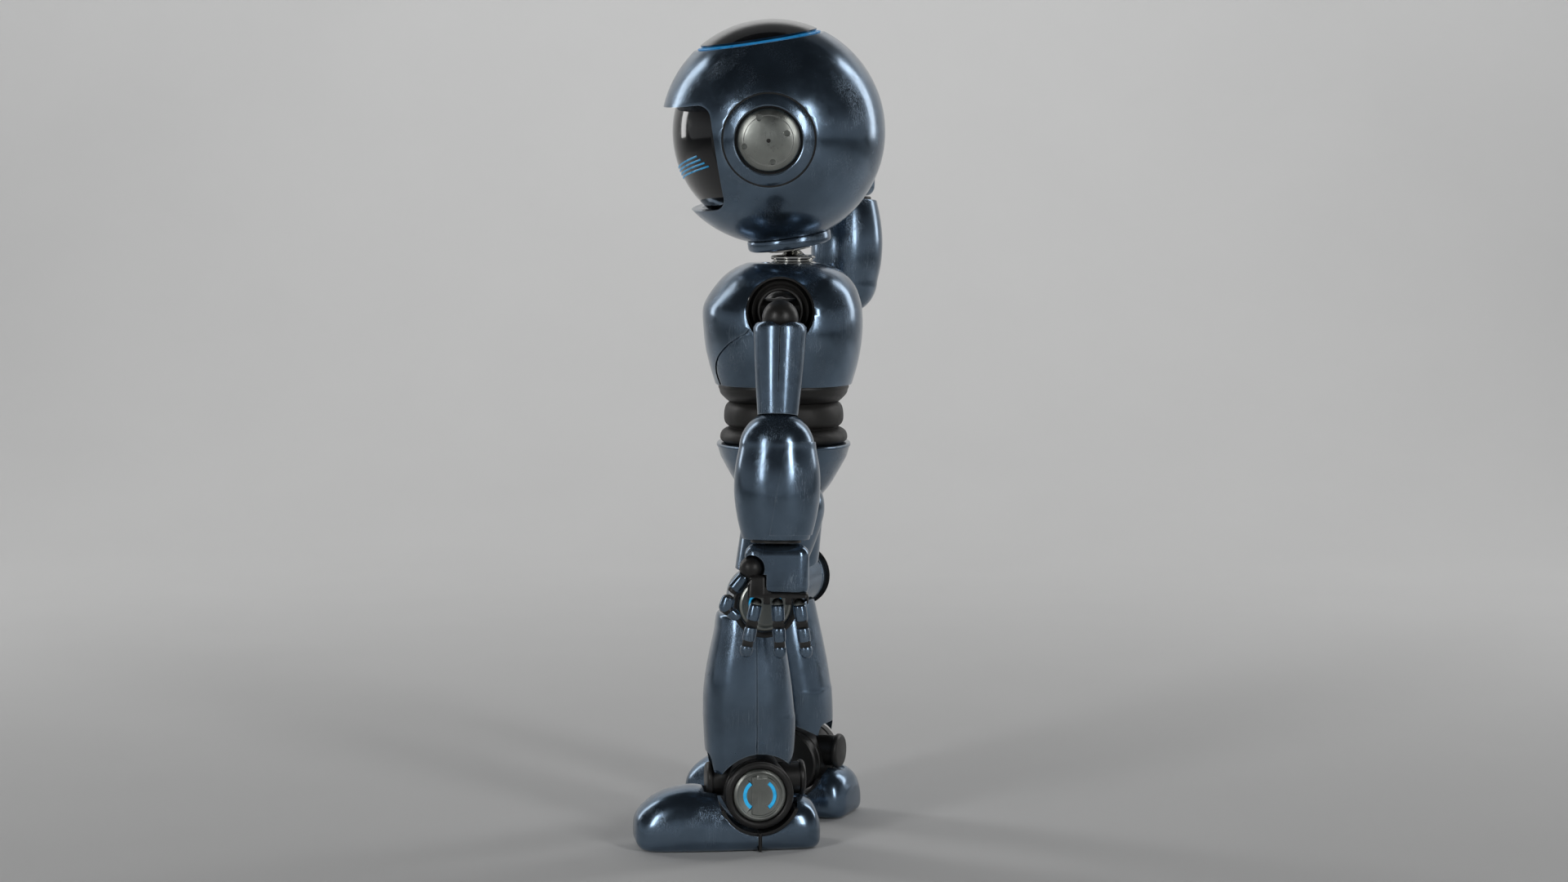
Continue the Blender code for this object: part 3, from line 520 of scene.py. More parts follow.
def head():
    zc = (VISOR_TOP + VISOR_BOTTOM) / 2
    shell = lathe([(0, 66.0)] + sphere_profile(HEAD_R, 66.0, -75.0, 44) + [(0, -75.0)], 112)
    tools = [lathe([(0, 67.0)] + sphere_profile(HEAD_R - HEAD_WALL, 67.0, -68.0, 24) + [(0, -68.0)], 96),
             box((200, 100, VISOR_TOP - VISOR_BOTTOM), (0, VISOR_FRONT - 50, zc), 9.0, 8)]
    for out in ("X", "-X"):
        tools.append(lathe([(0, 90), (33.6, 90), (33.6, 72.4), (0, 72.4)], 72, out))
    cut(shell, *tools)
    put("head_shell_look", shell, PAINT, "head", HEAD_M, "head_shell", bev=0.45, seg=2)

    visor = lathe([(0, 64.0)] + sphere_profile(VISOR_R, 64.0, -64.0, 28) + [(0, -64.0)], 112)
    cut(visor, lathe([(0, 66.0)] + sphere_profile(VISOR_R - 3.5, 66.0, -66.0, 20) + [(0, -66.0)], 80))
    boolean(visor, [box((120, 100, 88), (0, -26 - 50, zc))], "INTERSECT")
    put("visor_look", visor, GLASS, "head", HEAD_M, "visor", bev=0.3)
    # four lit lines on each side of the visor
    for s in (1, -1):
        for k in range(4):
            pts = []
            a1 = 50.0 - 2.6 * k
            for i in range(25):
                t = i / 24
                pts.append(on_visor(VISOR_R - 0.25, s * (6.0 + (a1 - 6.0) * t), -23.0 + 2.6 * k + 9.5 * t))
            wire(pts, 0.72, VISOR_LIGHT, f"visor_line_{k + 1}_{'left' if s > 0 else 'right'}", "head", HEAD_M)
    # crown light ring and crown cap
    put("crown_light_look", lathe([(35.0, 67.5), (44.0, 67.5), (44.7, 67.2), (44.9, 66.8), (44.6, 66.3), (35.0, 66.3), (35.0, 67.5)], 112), CROWN_LIGHT, "head", HEAD_M, "crown_light_ring")
    put("crown_cap_look", lathe([(0, HEAD_R)] + sphere_profile(HEAD_R, HEAD_R - 0.2, 69.4, 14) + [(42.4, 68.9), (42.0, 68.0), (0, 68.0)], 112), GLASS, "head", HEAD_M, "crown_cap", angle=25)
    for side, s in (("left", 1), ("right", -1)):
        out = "X" if s > 0 else "-X"
        # dark seat, bevelled navy ring and domed steel disc
        put("ear_seat_" + side, lathe([(12.5, 74.2), (33.2, 74.2), (33.2, 72.7), (12.5, 72.7), (12.5, 74.2)], 72, out), BLACK, "head", HEAD_M)
        ring = [(24.0, 78.0), (24.4, 78.6), (25.0, 78.8), (29.6, 77.0), (31.4, 75.9), (32.1, 75.2), (32.3, 74.5), (24.0, 74.5), (24.0, 78.0)]
        put("ear_ring_" + side, lathe(ring, 96, out), PAINT, "head", HEAD_M, angle=20)
        prof = [(0, 81.9), (6, 81.7), (11, 81.1), (15.5, 80.2), (19, 79.1), (21.0, 78.1), (22.2, 77.2), (22.7, 76.4), (22.7, 74.6), (12.0, 74.6), (12.0, 64.0), (0, 64.0)]
        disc = lathe(prof, 96, out)
        holes = []
        for y, z in ((-4.2, 16.5), (-17.5, -1.8), (13.6, 3.0), (0.6, -15.4)):
            holes.append(drum(2.3, 76.0, 90.0, 24, out, (0, y, z)))
        holes.append(washer(17.2, 17.8, 78.9, 90.0, 72, out))
        cut(disc, *holes)
        put("ear_disc_look_" + side, disc, STEEL, "head", HEAD_M, "ear_disc_" + side, bev=0.15)
        put("ear_pip_" + side, lathe([(0, 82.6), (1.0, 82.4), (1.5, 81.9), (1.5, 81.0), (0, 81.0)], 24, out), BLACK, "head", HEAD_M)
    c = lathe([(0, -75.4), (28.8, -75.4), (30.2, -76.0), (30.7, -77.2), (30.7, -81.6), (30.2, -82.8), (29.0, -83.6), (0, -83.6)], 96)
    put("collar_look", c, PAINT, "head", HEAD_M, "neck_collar", angle=25)
    put("collar_ring", lathe([(0, -83.7), (16.0, -83.7), (17.0, -84.3), (17.0, -85.6), (16.2, -86.2), (0, -86.2)], 72), CHROME, "head", HEAD_M)


head()


# ---------------------------------------------------------------- neck and torso
def chest_solid(grow=0.0, n=72, table=None):
    return loft_z(dense(table or CHEST, 4), n, 2.3, grow)


def torso():
    prof = [(0, 428.4), (3.0, 428.2), (5.4, 427.2), (7.0, 425.6), (8.6, 424.2), (13.6, 424.0), (15.4, 423.6), (16.4, 422.6), (16.4, 421.6), (15.6, 420.7), (14.4, 420.2), (14.4, 419.6),
            (16.2, 419.2), (17.2, 418.3), (17.2, 417.0), (16.4, 416.1), (14.8, 415.7), (14.8, 415.0), (16.6, 414.7), (16.6, 414.3), (0, 414.3)]
    put("neck_look", lathe(prof, 72, at=(0, NECK_Y, 0)), CHROME, "neck", rep="neck", angle=40)

    chest = chest_solid()
    inside = [(r[0], r[1] + CHEST_WALL, r[2] - CHEST_WALL, r[3] - CHEST_WALL) for r in CHEST[2:]]
    inside.append((325.0, -45.0, 44.5, 49.0))
    tools = [loft_z(dense(inside, 2), 48), lathe([(0, 425), (23.0, 425), (21.6, 417.6), (21.0, 416.6), (21.0, 414.0), (0, 414.0)], 72, at=(0, NECK_Y - 2.0, 0))]
    for out in ("X", "-X"):
        tools.append(drum(SHOULDER_HOLE_R, 35.0, 80.0, 72, out, (0, SHOULDER[1], SHOULDER_HOLE_Z)))
    # the front panel's seam, a shallow groove that runs from each shoulder opening down to the hem
    seam = [(-25.0, 372.0), (-27.5, 369.3), (-33.5, 365.6), (-40.0, 360.8), (-46.5, 353.0), (-49.0, 345.2), (-48.4, 337.4), (-45.4, 329.0), (-45.0, 326.0)]
    seam = [(y * 1.0, z) for y, z in seam]
    seam = dense([(y, z) for y, z in seam], 5)
    ribbon = []
    for i, (y, z) in enumerate(seam):
        a, b = seam[max(i - 1, 0)], seam[min(i + 1, len(seam) - 1)]
        d = Vector((b[0] - a[0], b[1] - a[1])).normalized()
        nx, nz = -d.y * 0.6, d.x * 0.6
        ribbon.append([(-90, y + nx, z + nz), (90, y + nx, z + nz), (90, y - nx, z - nz), (-90, y - nx, z - nz)])
    slab = loft(ribbon)
    cut(slab, chest_solid(-1.7, 48))
    tools.append(slab)
    # hollow the chest and cut the neck hole, shoulder openings and seam
    cut(chest, *tools)
    put("chest_look", chest, PAINT, "chest", rep="chest_shell", bev=0.3, angle=30)
    for side, s in (("left", 1), ("right", -1)):
        out = "X" if s > 0 else "-X"
        body = "chest"
        prof = [(14.2, 46.6), (15.0, 47.4), (16.2, 47.0), (17.0, 44.6), (17.8, 44.0), (18.6, 44.6), (19.4, 46.6), (20.3, 47.0), (21.1, 46.2), (21.8, 43.6), (22.6, 43.0), (23.4, 43.6), (24.1, 43.8),
                (24.1, 37.0), (14.2, 37.0), (14.2, 46.6)]
        put("boot_look_" + side, lathe(prof, 72, out, (0, SHOULDER[1], SHOULDER_HOLE_Z)), RUBBER, body, rep="shoulder_boot_" + side, angle=50)
        put("shoulder_rim_" + side, lathe([(23.2, 49.0), (24.2, 49.0), (24.2, 44.2), (23.2, 44.2), (23.2, 49.0)], 72, out, (0, SHOULDER[1], SHOULDER_HOLE_Z)), BLACK, body)
    ring = [(329.6, -48.0, 47.4, 52.0), (327.6, -48.2, 47.6, 52.2), (325.8, -47.4, 46.8, 51.4), (323.0, -46.6, 46.0, 50.4), (319.5, -43.4, 43.0, 46.9), (317.4, -40.8, 40.4, 44.0)]
    put("chest_ring_look", loft_z(dense(ring, 2), 72), BLACK, "chest", rep="chest_ring", angle=45)
    waist = [(317.2, -39.4, 39.0, 42.4), (315.8, -41.0, 40.6, 44.0), (313.5, -42.9, 42.5, 46.0), (309.0, -43.9, 43.5, 47.1), (304.0, -43.9, 43.5, 47.1), (300.9, -42.7, 42.3, 46.0), (299.2, -40.6, 40.2, 43.9),
             (298.4, -39.2, 38.8, 42.6), (297.8, -40.4, 40.0, 44.2), (296.6, -43.4, 43.0, 47.6), (294.4, -46.0, 45.6, 50.5), (291.0, -46.9, 46.5, 51.5), (288.6, -46.0, 45.6, 50.6), (287.3, -43.6, 43.2, 48.2)]
    o = loft_z(dense(waist, 3), 96)
    full = S @ Matrix.Scale(MM, 4)
    o.data.transform(full)
    o.data.materials.clear()
    o.data.materials.append(RUBBER)
    o.data.shade_smooth()
    o.name = o.data.name = "waist_sleeve"
    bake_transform(o)
    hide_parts("waist_bellows")
    pelvis = loft_z([PELVIS[0]] + [(286.2, -49.4, 48.8, 60.8), (284.9, -49.4, 48.8, 60.8), (284.0, -48.6, 48.0, 60.2)] + dense(PELVIS[2:], 4), 80)
    cut(pelvis, *[ball(HIP_BALL_R + 1.6, (s * 41.0, 1.0, 243.0), 56, 32) for s in (1, -1)])
    put("pelvis_look", pelvis, PAINT, "pelvis", rep="pelvis_shell", angle=30, bev=0.3)


torso()


# ---------------------------------------------------------------- legs
def disc_look(tag, side, out, body, m, knee):
    # steel outer disc: a bevelled rim, a raised round plate with one flat side, and two lit arcs let into it
    s = 1 if out == "X" else -1
    H = LEG_HALF
    prof = [(0, H + 0.3), (15.6, H + 0.3), (16.0, H + 1.0), (17.0, H + 1.1), (18.2, H + 0.5), (19.2, H - 0.5), (19.2, H - 2.3), (0, H - 2.3)]
    disc = lathe(prof, 96, out)
    arcs = []
    for a0, a1 in ((34, 146), (214, 326)):
        ring = [[(s * x, y, z) for x, y, z in (arc_points(r_, a, a, x_)[0] for r_, x_ in ((9.3, H - 0.9), (12.1, H - 0.9), (12.1, H + 6), (9.3, H + 6)))] for a in [a0 + (a1 - a0) * k / 18 for k in range(19)]]
        arcs.append(loft(ring))
    plate = lathe([(0, H + 1.5), (13.9, H + 1.5), (14.6, H + 1.0), (14.6, H + 0.1), (0, H + 0.1)], 96, out)
    cut(plate, box((12, 12, 40), (s * H, -5.5 - 6.0, 0)), box((12, 7.0, 3.0), (s * (H + 7.0), 1.6, 13.6), 0, 1, Matrix.Identity(4)))
    for a in arcs:
        copies = [link("arc_copy", a.data.copy()), link("arc_copy", a.data.copy())]
        cut(disc, copies[0])
        cut(plate, copies[1])
        bpy.data.objects.remove(a)
    put(f"{tag}_disc_look_{side}", disc, STEEL, body, m, f"{tag}_disc_{side}", bev=0.12, angle=25)
    put(f"{tag}_plate_{side}", plate, STEEL, body, m, bev=0.15)
    for i, (a0, a1) in enumerate(((36, 144), (216, 324))):
        flat = [[(s * x, y, z) for x, y, z in (arc_points(r_, a, a, x_)[0] for r_, x_ in ((9.5, H - 0.8), (11.9, H - 0.8), (11.9, H + 0.55), (9.5, H + 0.55)))] for a in [a0 + (a1 - a0) * k / 24 for k in range(25)]]
        put(f"{tag}_arc_{i + 1}_{side}", loft(flat), LIGHT, body, m, bev=0.2)
    put(f"{tag}_rim_{side}", lathe([(19.7, H + 0.2), (20.2, H + 0.8), (21.6, H + 1.2), (22.8, H + 0.9), (23.6, H + 0.2), (23.6, H - 0.6), (19.7, H - 0.6), (19.7, H + 0.2)], 96, out), BLACK, body, m, angle=35)


def leg(side):
    hip, knee, ankle, toe_out = LEGS[side]
    s = 1 if side == "left" else -1
    out = "X" if s > 0 else "-X"
    thigh_b, shin_b, ankle_b, foot_b = "thigh_" + side, "shin_" + side, "ankle_" + side, "foot_" + side
    turn = Matrix.Rotation(math.radians(toe_out), 4, "Z")
    knee_m = Matrix.Translation(knee) @ turn
    ankle_m = Matrix.Translation(ankle) @ turn
    axis = (Vector(hip) - Vector(knee)).normalized()
    thigh_m = basis(hip, axis, turn @ Vector((1, 0, 0)))
    r = HIP_BALL_R
    prof = [(0, r)] + [(r * math.sin(math.radians(a)), r * math.cos(math.radians(a))) for a in range(6, 91, 6)]
    prof += dense([(28.5, -0.1), (28.4, -9.0), (27.6, -19.0), (26.2, -31.0), (24.8, -43.0), (23.6, -52.0)], 4)[1:] + [(0, -52.0)]
    thigh = lathe(prof, 80)
    cut(thigh, washer(27.2, 40.0, -29.6, -28.8, 80))
    # shallow ring groove and side seam
    cut(thigh, box((8, 0.8, 120), (s * 30.3, 0, -30)))
    thigh = place(thigh, Matrix.Diagonal((0.88, 1.0, 1.0, 1.0)))
    thigh = place(thigh, thigh_m)
    cut(thigh, place(drum(KNEE_R + 0.6, -40, 40, 72, "X"), knee_m),
        place(lathe([(0, 40), (31.0, 40), (11.5, 0), (11.5, -9.6), (0, -9.6)], 48), Matrix.Translation(hip)))
    put("thigh_look_" + side, thigh, PAINT, thigh_b, rep="thigh_" + side, bev=0.3)
    for tag, m, body in (("knee", knee_m, thigh_b), ("ankle", ankle_m, ankle_b)):
        R = KNEE_R if tag == "knee" else ANKLE_R
        H = LEG_HALF
        prof = [(0, H - 2.6), (19.6, H - 2.6), (19.6, H), (R - 1.2, H), (R - 0.4, H - 0.4), (R, H - 1.2), (R, H - 8), (R - 0.9, H - 8.6), (R - 0.9, H - 10.4), (R, H - 11),
                (R, -H + 11), (R - 0.9, -H + 10.4), (R - 0.9, -H + 8.6), (R, -H + 8), (R, -H + 1.2), (R - 1.2, -H), (0, -H)]
        d = lathe(prof, 96, out)
        if tag == "ankle":
            roll = [(0, 35.9), (10.6, 35.9), (11.8, 35.5), (12.6, 34.8), (13.0, 33.8), (13.0, 32.4), (12.6, 31.8), (11.6, 31.5), (11.6, -31.5), (12.6, -31.8), (13.0, -32.4), (13.0, -33.8), (12.6, -34.8), (11.8, -35.5), (10.6, -35.9), (0, -35.9)]
            fuse(d, lathe(roll, 64, "-Y", (0, 0, 7.0)))
        put(f"{tag}_drum_look_{side}", d, PAINT if tag == "knee" else BLACK, body, m, f"{tag}_drum_{side}", angle=30)
        disc_look(tag, side, out, body, m, tag == "knee")
    shin = [(129.0, -25.9, 15.4, 20.9), (128.2, -26.8, 16.4, 22.2), (126.5, -27.7, 18.1, 23.7), (121.0, -28.6, 19.4, 25.2), (114.0, -29.5, 20.5, 26.5), (93.0, -34.0, 23.6, 29.0), (74.0, -36.8, 26.3, 30.0), (57.0, -37.3, 28.0, 30.2),
            (51.0, -37.2, 28.7, 30.0), (30.0, -36.0, 28.0, 29.2), (17.0, -34.0, 25.5, 28.0), (14.5, -33.0, 24.5, 27.2)]
    knee_in = turn.inverted() @ (Vector(knee) - Vector(ankle))
    lean = (knee_in.y - 4.0) / knee_in.z
    shin = [(h, f + lean * h, b + lean * h, w) for h, f, b, w in shin]
    shell = loft_z(dense(shin, 4), 80, 2.5)
    cut(shell, box((28.6, 103, 40), (0, 0, 8.6), 6, 6), drum(ANKLE_R + 5.6, -50, 50, 80, "X"), drum(KNEE_R + 1.4, -50, 50, 80, "X", knee_in))
    # side seams
    seam = box((90, 1.3, 104), (0, -2.4, 64))
    cut(seam, loft_z(dense(shin, 2), 64, 2.5, -1.8))
    cut(shell, seam)
    put("shin_look_" + side, shell, PAINT, shin_b, ankle_m, "shin_shell_" + side, bev=0.35)
    # floor height in the ankle's frame
    z0 = -ankle[2]

    def foot_ring(y, h, w, lift=0.0, p=2.6):
        pts = []
        for x, z in ring_points(64, w, 1.0, p):
            pts.append((x, y, z0 + lift + 0.22 * h + (z * 0.78 * h if z >= 0 else max(-1.0, z * 1.25) * 0.22 * h)))
        return pts
    toe = [(-87.0, 17.0, 13.0, 6.0), (-84.5, 25.0, 18.0, 2.5), (-80.0, 31.5, 21.5, 0.8), (-72.0, 38.0, 24.5, 0.0), (-60.0, 42.5, 27.0, 0.0), (-46.0, 44.5, 28.5, 0.0), (-36.0, 43.0, 29.2, 0.0),
           (-20.0, 40.0, 29.5, 0.0), (-1.4, 38.0, 29.5, 0.0)]
    heel = [(1.4, 38.0, 29.5, 0.0), (16.0, 38.0, 29.5, 0.0), (28.0, 37.5, 29.0, 0.0), (36.0, 35.0, 27.5, 0.0), (41.0, 30.0, 24.5, 0.8), (44.0, 22.0, 20.0, 2.5), (45.3, 15.0, 15.0, 6.0)]
    for part, rows, tip in (("toe", toe, (-87.9, 9.0, 6.5, 9.5)), ("heel", heel, (45.8, 8.0, 7.0, 9.5))):
        rows = [tip] + rows if part == "toe" else rows + [tip]
        shoe = loft([foot_ring(r0[0], r0[1], r0[2], max(0.0, r0[3])) for r0 in dense(rows, 4)])
        # side slots where toe and heel meet are the gap itself; the ankle hollow and the roll's channel are cut out
        cut(shoe, drum(NOTCH_R, -60, 60, 96, "X"), drum(14.4, -38.5, 38.5, 64, "Y", (0, 0, 7.0)))
        put(f"foot_{part}_look_{side}", shoe, PAINT, foot_b, ankle_m, f"foot_{part}_{side}", bev=0.45)
    # dark liner of the ankle hollow, with a web down the slot between toe and heel
    liner = washer(27.3, 29.7, -27.5, 27.5, 96, "X")
    fuse(liner, box((60, 2.0, 13.4), (0, 0, -33.8), 0.3, 1))
    cut(liner, box((80, 80, 60), (0, 0, 19.5)), drum(14.6, -38.5, 38.5, 48, "Y", (0, 0, 7.0)))
    put("foot_liner_" + side, liner, BLACK, foot_b, ankle_m, angle=30)


leg("left")
leg("right")


# ---------------------------------------------------------------- arms
def arm(side):
    s = 1 if side == "left" else -1
    out = "X" if s > 0 else "-X"
    shoulder = Vector((s * SHOULDER[0], SHOULDER[1], SHOULDER[2]))
    up = -Vector(ARM_DIR[side]).normalized()
    upper_m = basis(shoulder, up, ELBOW_AXIS[side])
    elbow = shoulder - up * ARM_UPPER
    fup = -Vector(FORE_DIR[side]).normalized()
    fore_m = basis(elbow, fup, ELBOW_AXIS[side])
    wrist = elbow - fup * ARM_FORE
    hand_m = basis(wrist, fup, ELBOW_AXIS[side])
    shaft = lathe([(0, abs(shoulder.x) - 4), (7.0, abs(shoulder.x) - 4), (7.0, 66), (8.0, 65), (8.0, 62), (7.0, 61), (7.0, 54), (9.0, 53), (9.0, 40), (0, 40)], 48, out, (0, shoulder.y, shoulder.z))
    put("shoulder_ball_look_" + side, fuse(ball(BALL_R, shoulder, 64, 40), shaft), BLACK, "shoulder_" + side, rep="shoulder_ball_" + side, bev=0.2)
    # upper arm: two half shells with a groove between them, scalloped top and arched foot
    prof = [(0.0, -3.0), (13.4, -3.4), (17.2, -4.6), (18.4, -6.2), (18.8, -8.6)] + dense([(18.8, -8.6), (17.8, -25.0), (16.3, -45.0), (14.8, -62.0), (13.9, -72.0)], 4)[1:] + [(13.4, -76.5), (0.0, -76.5)]
    upper = lathe(prof, 80)
    tools = [ball(BALL_R + 0.6, (0, 0, 0), 56, 36), ball(ELBOW_SOCKET_R, (0, 0, -ARM_UPPER), 64, 44), box((10, 50, 10), (-s * 12, 0, -3))]
    notch = box((60, 7.5, 7.5), (0, 0, -2.2), 0, 1, Matrix.Rotation(math.radians(45), 4, "X"))
    tools.append(place(notch, Matrix.Diagonal((1, 2.6, 1.0, 1))))
    cut(upper, *tools)
    cut(upper, box((6.0, 0.7, 90), (18.6, 0, -40)), box((6.0, 0.7, 90), (-18.6, 0, -40)))
    put("upper_arm_look_" + side, upper, PAINT, "upper_arm_" + side, upper_m, "upper_arm_" + side, bev=0.3)
    # forearm with its second shell over the rear
    fore_rows = dense(FORE[1:-2], 4)
    prof = [(0.0, 26.5), (4.2, 26.2)] + fore_rows + [(23.6, -62.6), (23.2, -63.2), (22.4, -63.5), (0, -63.5)]
    fore = place(lathe(prof, 96), Matrix.Diagonal((0.92, 1, 1, 1)))
    local = fore_m.to_3x3().inverted() @ up
    bend = math.atan2(-local.y, local.z)
    tools = []
    if abs(bend) > math.radians(40):
        # the bent arm's forearm is relieved where the upper arm swings
        tools = [place(lathe([(0, 75), (20.5, 75), (16.2, 30), (15.6, 22.2), (0, 22.2)], 48), Matrix.Rotation(bend * k, 4, "X")) for k in (1.06, 0.98, 0.9, 0.82, 0.75, 0.68, 0.6)]
    if tools:
        cut(fore, *tools)
    put("forearm_look_" + side, fore, PAINT, "forearm_" + side, fore_m, "forearm_" + side, bev=0.3, angle=28)
    if abs(bend) < math.radians(40):
        over = [(r + 1.0, z) for r, z in dense(FORE[4:-2], 4)]
        shell = lathe([(0, over[0][1])] + over + [(0, over[-1][1])], 96)
        shell = place(shell, Matrix.Diagonal((0.92, 1, 1, 1)))
        inner = place(lathe([(0, 26.5), (4.2, 26.2)] + [(r - 0.1, z) for r, z in fore_rows] + [(23.5, -62.6), (0, -63.5)], 96), Matrix.Diagonal((0.92, 1, 1, 1)))
        cut(shell, inner, place(box((90, 60, 140), (0, -30.0 + 5.0, -36)), Matrix.Rotation(math.radians(-9), 4, "X")), box((90, 90, 20), (0, 0, 15.0)), box((90, 90, 20), (0, 0, -70.0)))
        put("forearm_cover_" + side, shell, PAINT, "forearm_" + side, fore_m, bev=0.2, angle=28)
    put("wrist_ring_" + side, lathe([(0, -63.6), (17.0, -63.6), (17.6, -64.0), (17.6, -65.4), (17.0, -65.9), (0, -65.9)], 64), BLACK, "forearm_" + side, fore_m)
    # hand: navy shell over the dark L-shaped frame, whose front column ends in the thumb's ball
    thumb_at = (THUMB[0] * s, THUMB[1], THUMB[2])
    thumb_m = Matrix.Translation(thumb_at) @ Matrix.Rotation(math.radians(-THUMB_TILT), 4, "X")
    shell = box((25, 45, 37), (0, 1.0, -19.0), 8.0, 8)
    corner = box((40, 3.3, 3.3), (0, -4.4, -32.0))
    cut(corner, drum(3.2, -30, 30, 40, "X", (0, -2.8, -30.4)))
    cut(shell, box((40, 60, 20), (0, 0, -43.6)), box((40, 24.6, 31), (0, -18.3, -37.1)), corner, ball(THUMB_R + 0.5, thumb_at, 56, 36), ball(THUMB_R + 1.1, (s * 12.0, THUMB[1], THUMB[2]), 56, 36))
    put("hand_look_" + side, shell, PAINT, "hand_" + side, hand_m, "hand_shell_" + side, bev=0.35)
    palm = fuse(box((25.2, 42.6, 8.5), (0, 2.1, -38.3), 2.6, 5), box((24.8, 12.8, 20.0), (0, -12.8, -32.2), 2.6, 5))
    web = box((24.6, 4.6, 4.6), (0, -5.1, -32.75))
    cut(web, drum(3.6, -30, 30, 40, "X", (0, -2.8, -30.4)), box((30, 6, 6), (0, 0.2, -30.4)), box((30, 6, 6), (0, -5.8, -27.4)))
    fuse(palm, web)
    cut(palm, place(box((60, 11.4, 40), (0, 0, -26.0)), thumb_m), *[box((30, 2 * FINGER_R + 1.4, 9), (0, y, -42.2)) for y, a in FINGERS])
    fuse(palm, ball(THUMB_R, thumb_at, 56, 36))
    put("palm_look_" + side, palm, BLACK, "hand_" + side, hand_m, "palm_" + side, bev=0.25)
    for i, (y, a) in enumerate(FINGERS):
        m = hand_m @ Matrix.Translation((0, y, -42.4)) @ Matrix.Rotation(math.radians(-a), 4, "X")
        b, t = f"finger_{i + 1}_{side}", f"fingertip_{i + 1}_{side}"
        put(f"knuckle_{i + 1}_{side}", lathe([(0, 4.0), (1.6, 3.8), (3.0, 3.0), (3.8, 1.6), (3.9, -1.0), (3.5, -2.4), (0, -2.4)], 32), STEEL, b, m)
        base = lathe([(0, -0.6), (3.9, -0.6), (4.4, -1.2), (4.6, -2.4), (4.6, -8.0), (4.5, -11.4), (4.1, -12.2), (0, -12.2)], 40)
        put(f"finger_{i + 1}_base_look_{side}", base, PAINT, b, m, f"finger_{i + 1}_base_{side}", bev=0.15)
        put(f"finger_{i + 1}_hinge_{side}", drum(3.5, -4.1, 4.1, 32, "Y", (0, 0, -14.7), 0.5), BLACK, b, m)
        put(f"finger_{i + 1}_neck_{side}", box((7.4, 7.4, 3.2), (0, 0, -13.3), 0.8, 3), BLACK, b, m)
        tip = lathe([(0, -17.2), (3.8, -17.2), (4.4, -17.8), (4.6, -19.2), (4.6, -25.4), (4.3, -26.8), (0, -26.8)], 40)
        put(f"finger_{i + 1}_mid_look_{side}", tip, PAINT, t, m, f"finger_{i + 1}_tip_{side}", angle=25)
        put(f"finger_{i + 1}_band_{side}", box((7.2, 7.6, 4.6), (0, 0, -28.6), 0.8, 3), BLACK, t, m)
        end = lathe([(0, -30.4), (3.9, -30.4), (4.5, -31.0), (4.7, -32.2), (4.5, -34.4), (3.8, -36.4), (2.6, -37.8), (1.3, -38.4), (0, -38.6)], 40)
        put(f"finger_{i + 1}_end_look_{side}", end, PAINT, t, m, angle=25)
    m = hand_m @ thumb_m
    base = lathe([(0, -5.0), (4.4, -5.0), (4.9, -9.5), (5.0, -12.0), (4.9, -18.4), (4.4, -19.4), (0, -19.4)], 48)
    cut(base, ball(THUMB_R + 0.5, (0, 0, 0), 56, 36))
    put("thumb_base_look_" + side, base, PAINT, "thumb_" + side, m, "thumb_base_" + side, angle=25, bev=0.2)
    put("thumb_neck_" + side, lathe([(0, -19.2), (3.6, -19.2), (3.8, -20.4), (3.2, -22.0), (0, -22.4)], 32), BLACK, "thumb_" + side, m)
    m2 = m @ Matrix.Translation((0, 0, -THUMB_LONG)) @ Matrix.Rotation(math.radians(THUMB_BEND), 4, "X")
    tip = lathe([(0, -2.2), (3.8, -2.2), (4.5, -3.2), (4.8, -5.0), (4.8, -9.6), (4.4, -11.6), (3.2, -13.2), (0, -14.0)], 48)
    put("thumb_tip_look_" + side, tip, PAINT, "thumb_tip_" + side, m2, "thumb_tip_" + side, angle=25)
    put("thumb_tipneck_" + side, lathe([(0, -0.6), (1.5, -0.9), (3.4, -1.8), (3.6, -2.4), (0, -2.4)], 32), BLACK, "thumb_tip_" + side, m2)
    hook_m = m2 @ Matrix.Translation((0, 0, -10.6)) @ Matrix.Rotation(math.radians(THUMB_HOOK), 4, "X")
    put("thumb_hook_neck_" + side, lathe([(0, 3.6), (2.6, 3.2), (3.8, 1.6), (3.9, -3.2), (3.4, -4.4), (0, -4.4)], 40), BLACK, "thumb_tip_" + side, hook_m)
    put("thumb_hook_end_" + side, lathe([(0, -4.2), (3.6, -4.2), (4.1, -5.0), (4.0, -7.6), (3.4, -10.2), (2.2, -12.0), (0, -13.0)], 40), PAINT, "thumb_tip_" + side, hook_m, angle=25)


arm("left")
arm("right")


# ---------------------------------------------------------------- stage: floor, backdrop, light, camera
def stage_material(name, a, b, rough):
    m, nt, p = nodes_of(name)
    co = nt.nodes.new("ShaderNodeTexCoord").outputs["Object"]
    nz = add(nt, "ShaderNodeTexNoise", Scale=6.0, Detail=5.0)
    nt.links.new(co, nz.inputs["Vector"])
    mix = nt.nodes.new("ShaderNodeMix")
    mix.data_type = "RGBA"
    mix.inputs[6].default_value, mix.inputs[7].default_value = (*a, 1), (*b, 1)
    nt.links.new(nz.outputs["Fac"], mix.inputs[0])
    nt.links.new(mix.outputs[2], p.inputs["Base Color"])
    p.inputs["Roughness"].default_value = rough
    p.inputs["Specular IOR Level"].default_value = 0.15
    return m


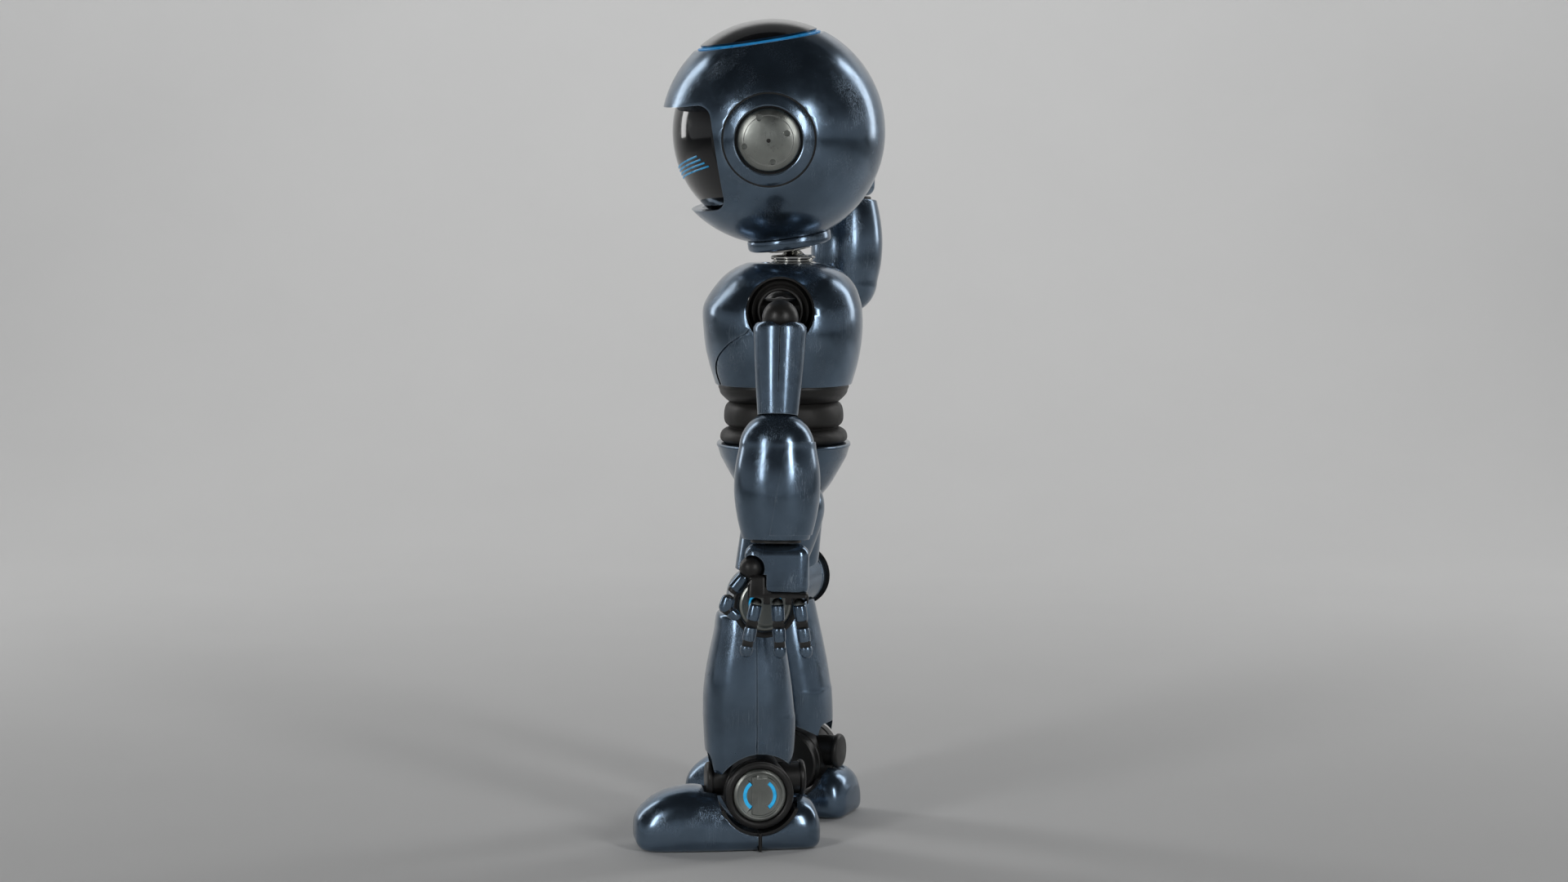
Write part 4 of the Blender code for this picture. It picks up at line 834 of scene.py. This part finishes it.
# one sheet: a flat floor that curves up into a backdrop behind the robot
prof = [(3.0, 0.0)] + [(-1.4 + -1.2 * math.sin(math.radians(a)), 1.2 - 1.2 * math.cos(math.radians(a))) for a in range(0, 91, 6)] + [(-2.6, 5.0)]
bm = bmesh.new()
rows = [[bm.verts.new((x, y, z)) for x, z in prof] for y in (-6.0, 6.0)]
for i in range(len(prof) - 1):
    bm.faces.new((rows[0][i], rows[0][i + 1], rows[1][i + 1], rows[1][i]))
me = bpy.data.meshes.new("floor")
bm.to_mesh(me)
bm.free()
me.shade_smooth()
floor = bpy.data.objects.new("floor", me)
bpy.context.scene.collection.objects.link(floor)
me.materials.append(stage_material("pale_floor", (0.64, 0.64, 0.637), (0.67, 0.67, 0.666), 0.8))

world = bpy.data.worlds.new("studio")
bpy.context.scene.world = world
world.use_nodes = True
wnt = world.node_tree
wco = wnt.nodes.new("ShaderNodeTexCoord").outputs["Generated"]
wsep = wnt.nodes.new("ShaderNodeSeparateXYZ")
wnt.links.new(wco, wsep.inputs[0])
wramp = wnt.nodes.new("ShaderNodeValToRGB")
wramp.color_ramp.elements[0].position, wramp.color_ramp.elements[0].color = 0.0, (0.31, 0.318, 0.326, 1)
wramp.color_ramp.elements[1].position, wramp.color_ramp.elements[1].color = 0.75, (0.012, 0.013, 0.014, 1)
for at, v in ((0.08, 0.30), (0.34, 0.032)):
    el = wramp.color_ramp.elements.new(at)
    el.color = (v, v * 1.03, v * 1.06, 1)
wnt.links.new(wsep.outputs[2], wramp.inputs[0])
wnt.links.new(wramp.outputs[0], wnt.nodes["Background"].inputs["Color"])
wnt.nodes["Background"].inputs["Strength"].default_value = 1.0



def area(name, place_at, aim, size, power, size_y=None):
    d = bpy.data.lights.new(name, "AREA")
    d.energy = power
    d.size = size
    if size_y:
        d.shape, d.size_y = "RECTANGLE", size_y
    o = bpy.data.objects.new(name, d)
    bpy.context.scene.collection.objects.link(o)
    o.location = place_at
    o.rotation_mode = "QUATERNION"
    o.rotation_quaternion = (Vector(aim) - Vector(place_at)).to_track_quat("-Z", "Y")


area("backdrop_soft", (-1.75, 0.0, 2.2), (-2.7, 0, 1.18), 5.0, 39, 0.7)
area("front_a", (1.75, -1.30, 0.98), (0, 0, 0.32), 0.34, 10, 0.95)
area("front_b", (1.75, 1.30, 0.98), (0, 0, 0.32), 0.34, 10, 0.95)
area("rear_a", (-0.95, -1.55, 1.15), (0, 0, 0.32), 0.40, 7.5, 1.6)
area("rear_b", (-0.95, 1.55, 1.15), (0, 0, 0.32), 0.40, 7.5, 1.6)

cam_data = bpy.data.cameras.new("camera")
cam_data.lens, cam_data.sensor_width = 70.0, 36.0
cam_data.clip_start, cam_data.clip_end = 0.05, 50.0
cam = bpy.data.objects.new("camera", cam_data)
bpy.context.scene.collection.objects.link(cam)
e = math.radians(5.0)
target = Vector((SHIFT.x, SHIFT.y, 0.28725))
cam.location = target + Vector((math.cos(e), 0, math.sin(e))) * 2.240
cam.rotation_mode = "QUATERNION"
cam.rotation_quaternion = (target - cam.location).to_track_quat("-Z", "Y")
bpy.context.scene.camera = cam
bpy.context.scene.view_settings.view_transform = "Standard"
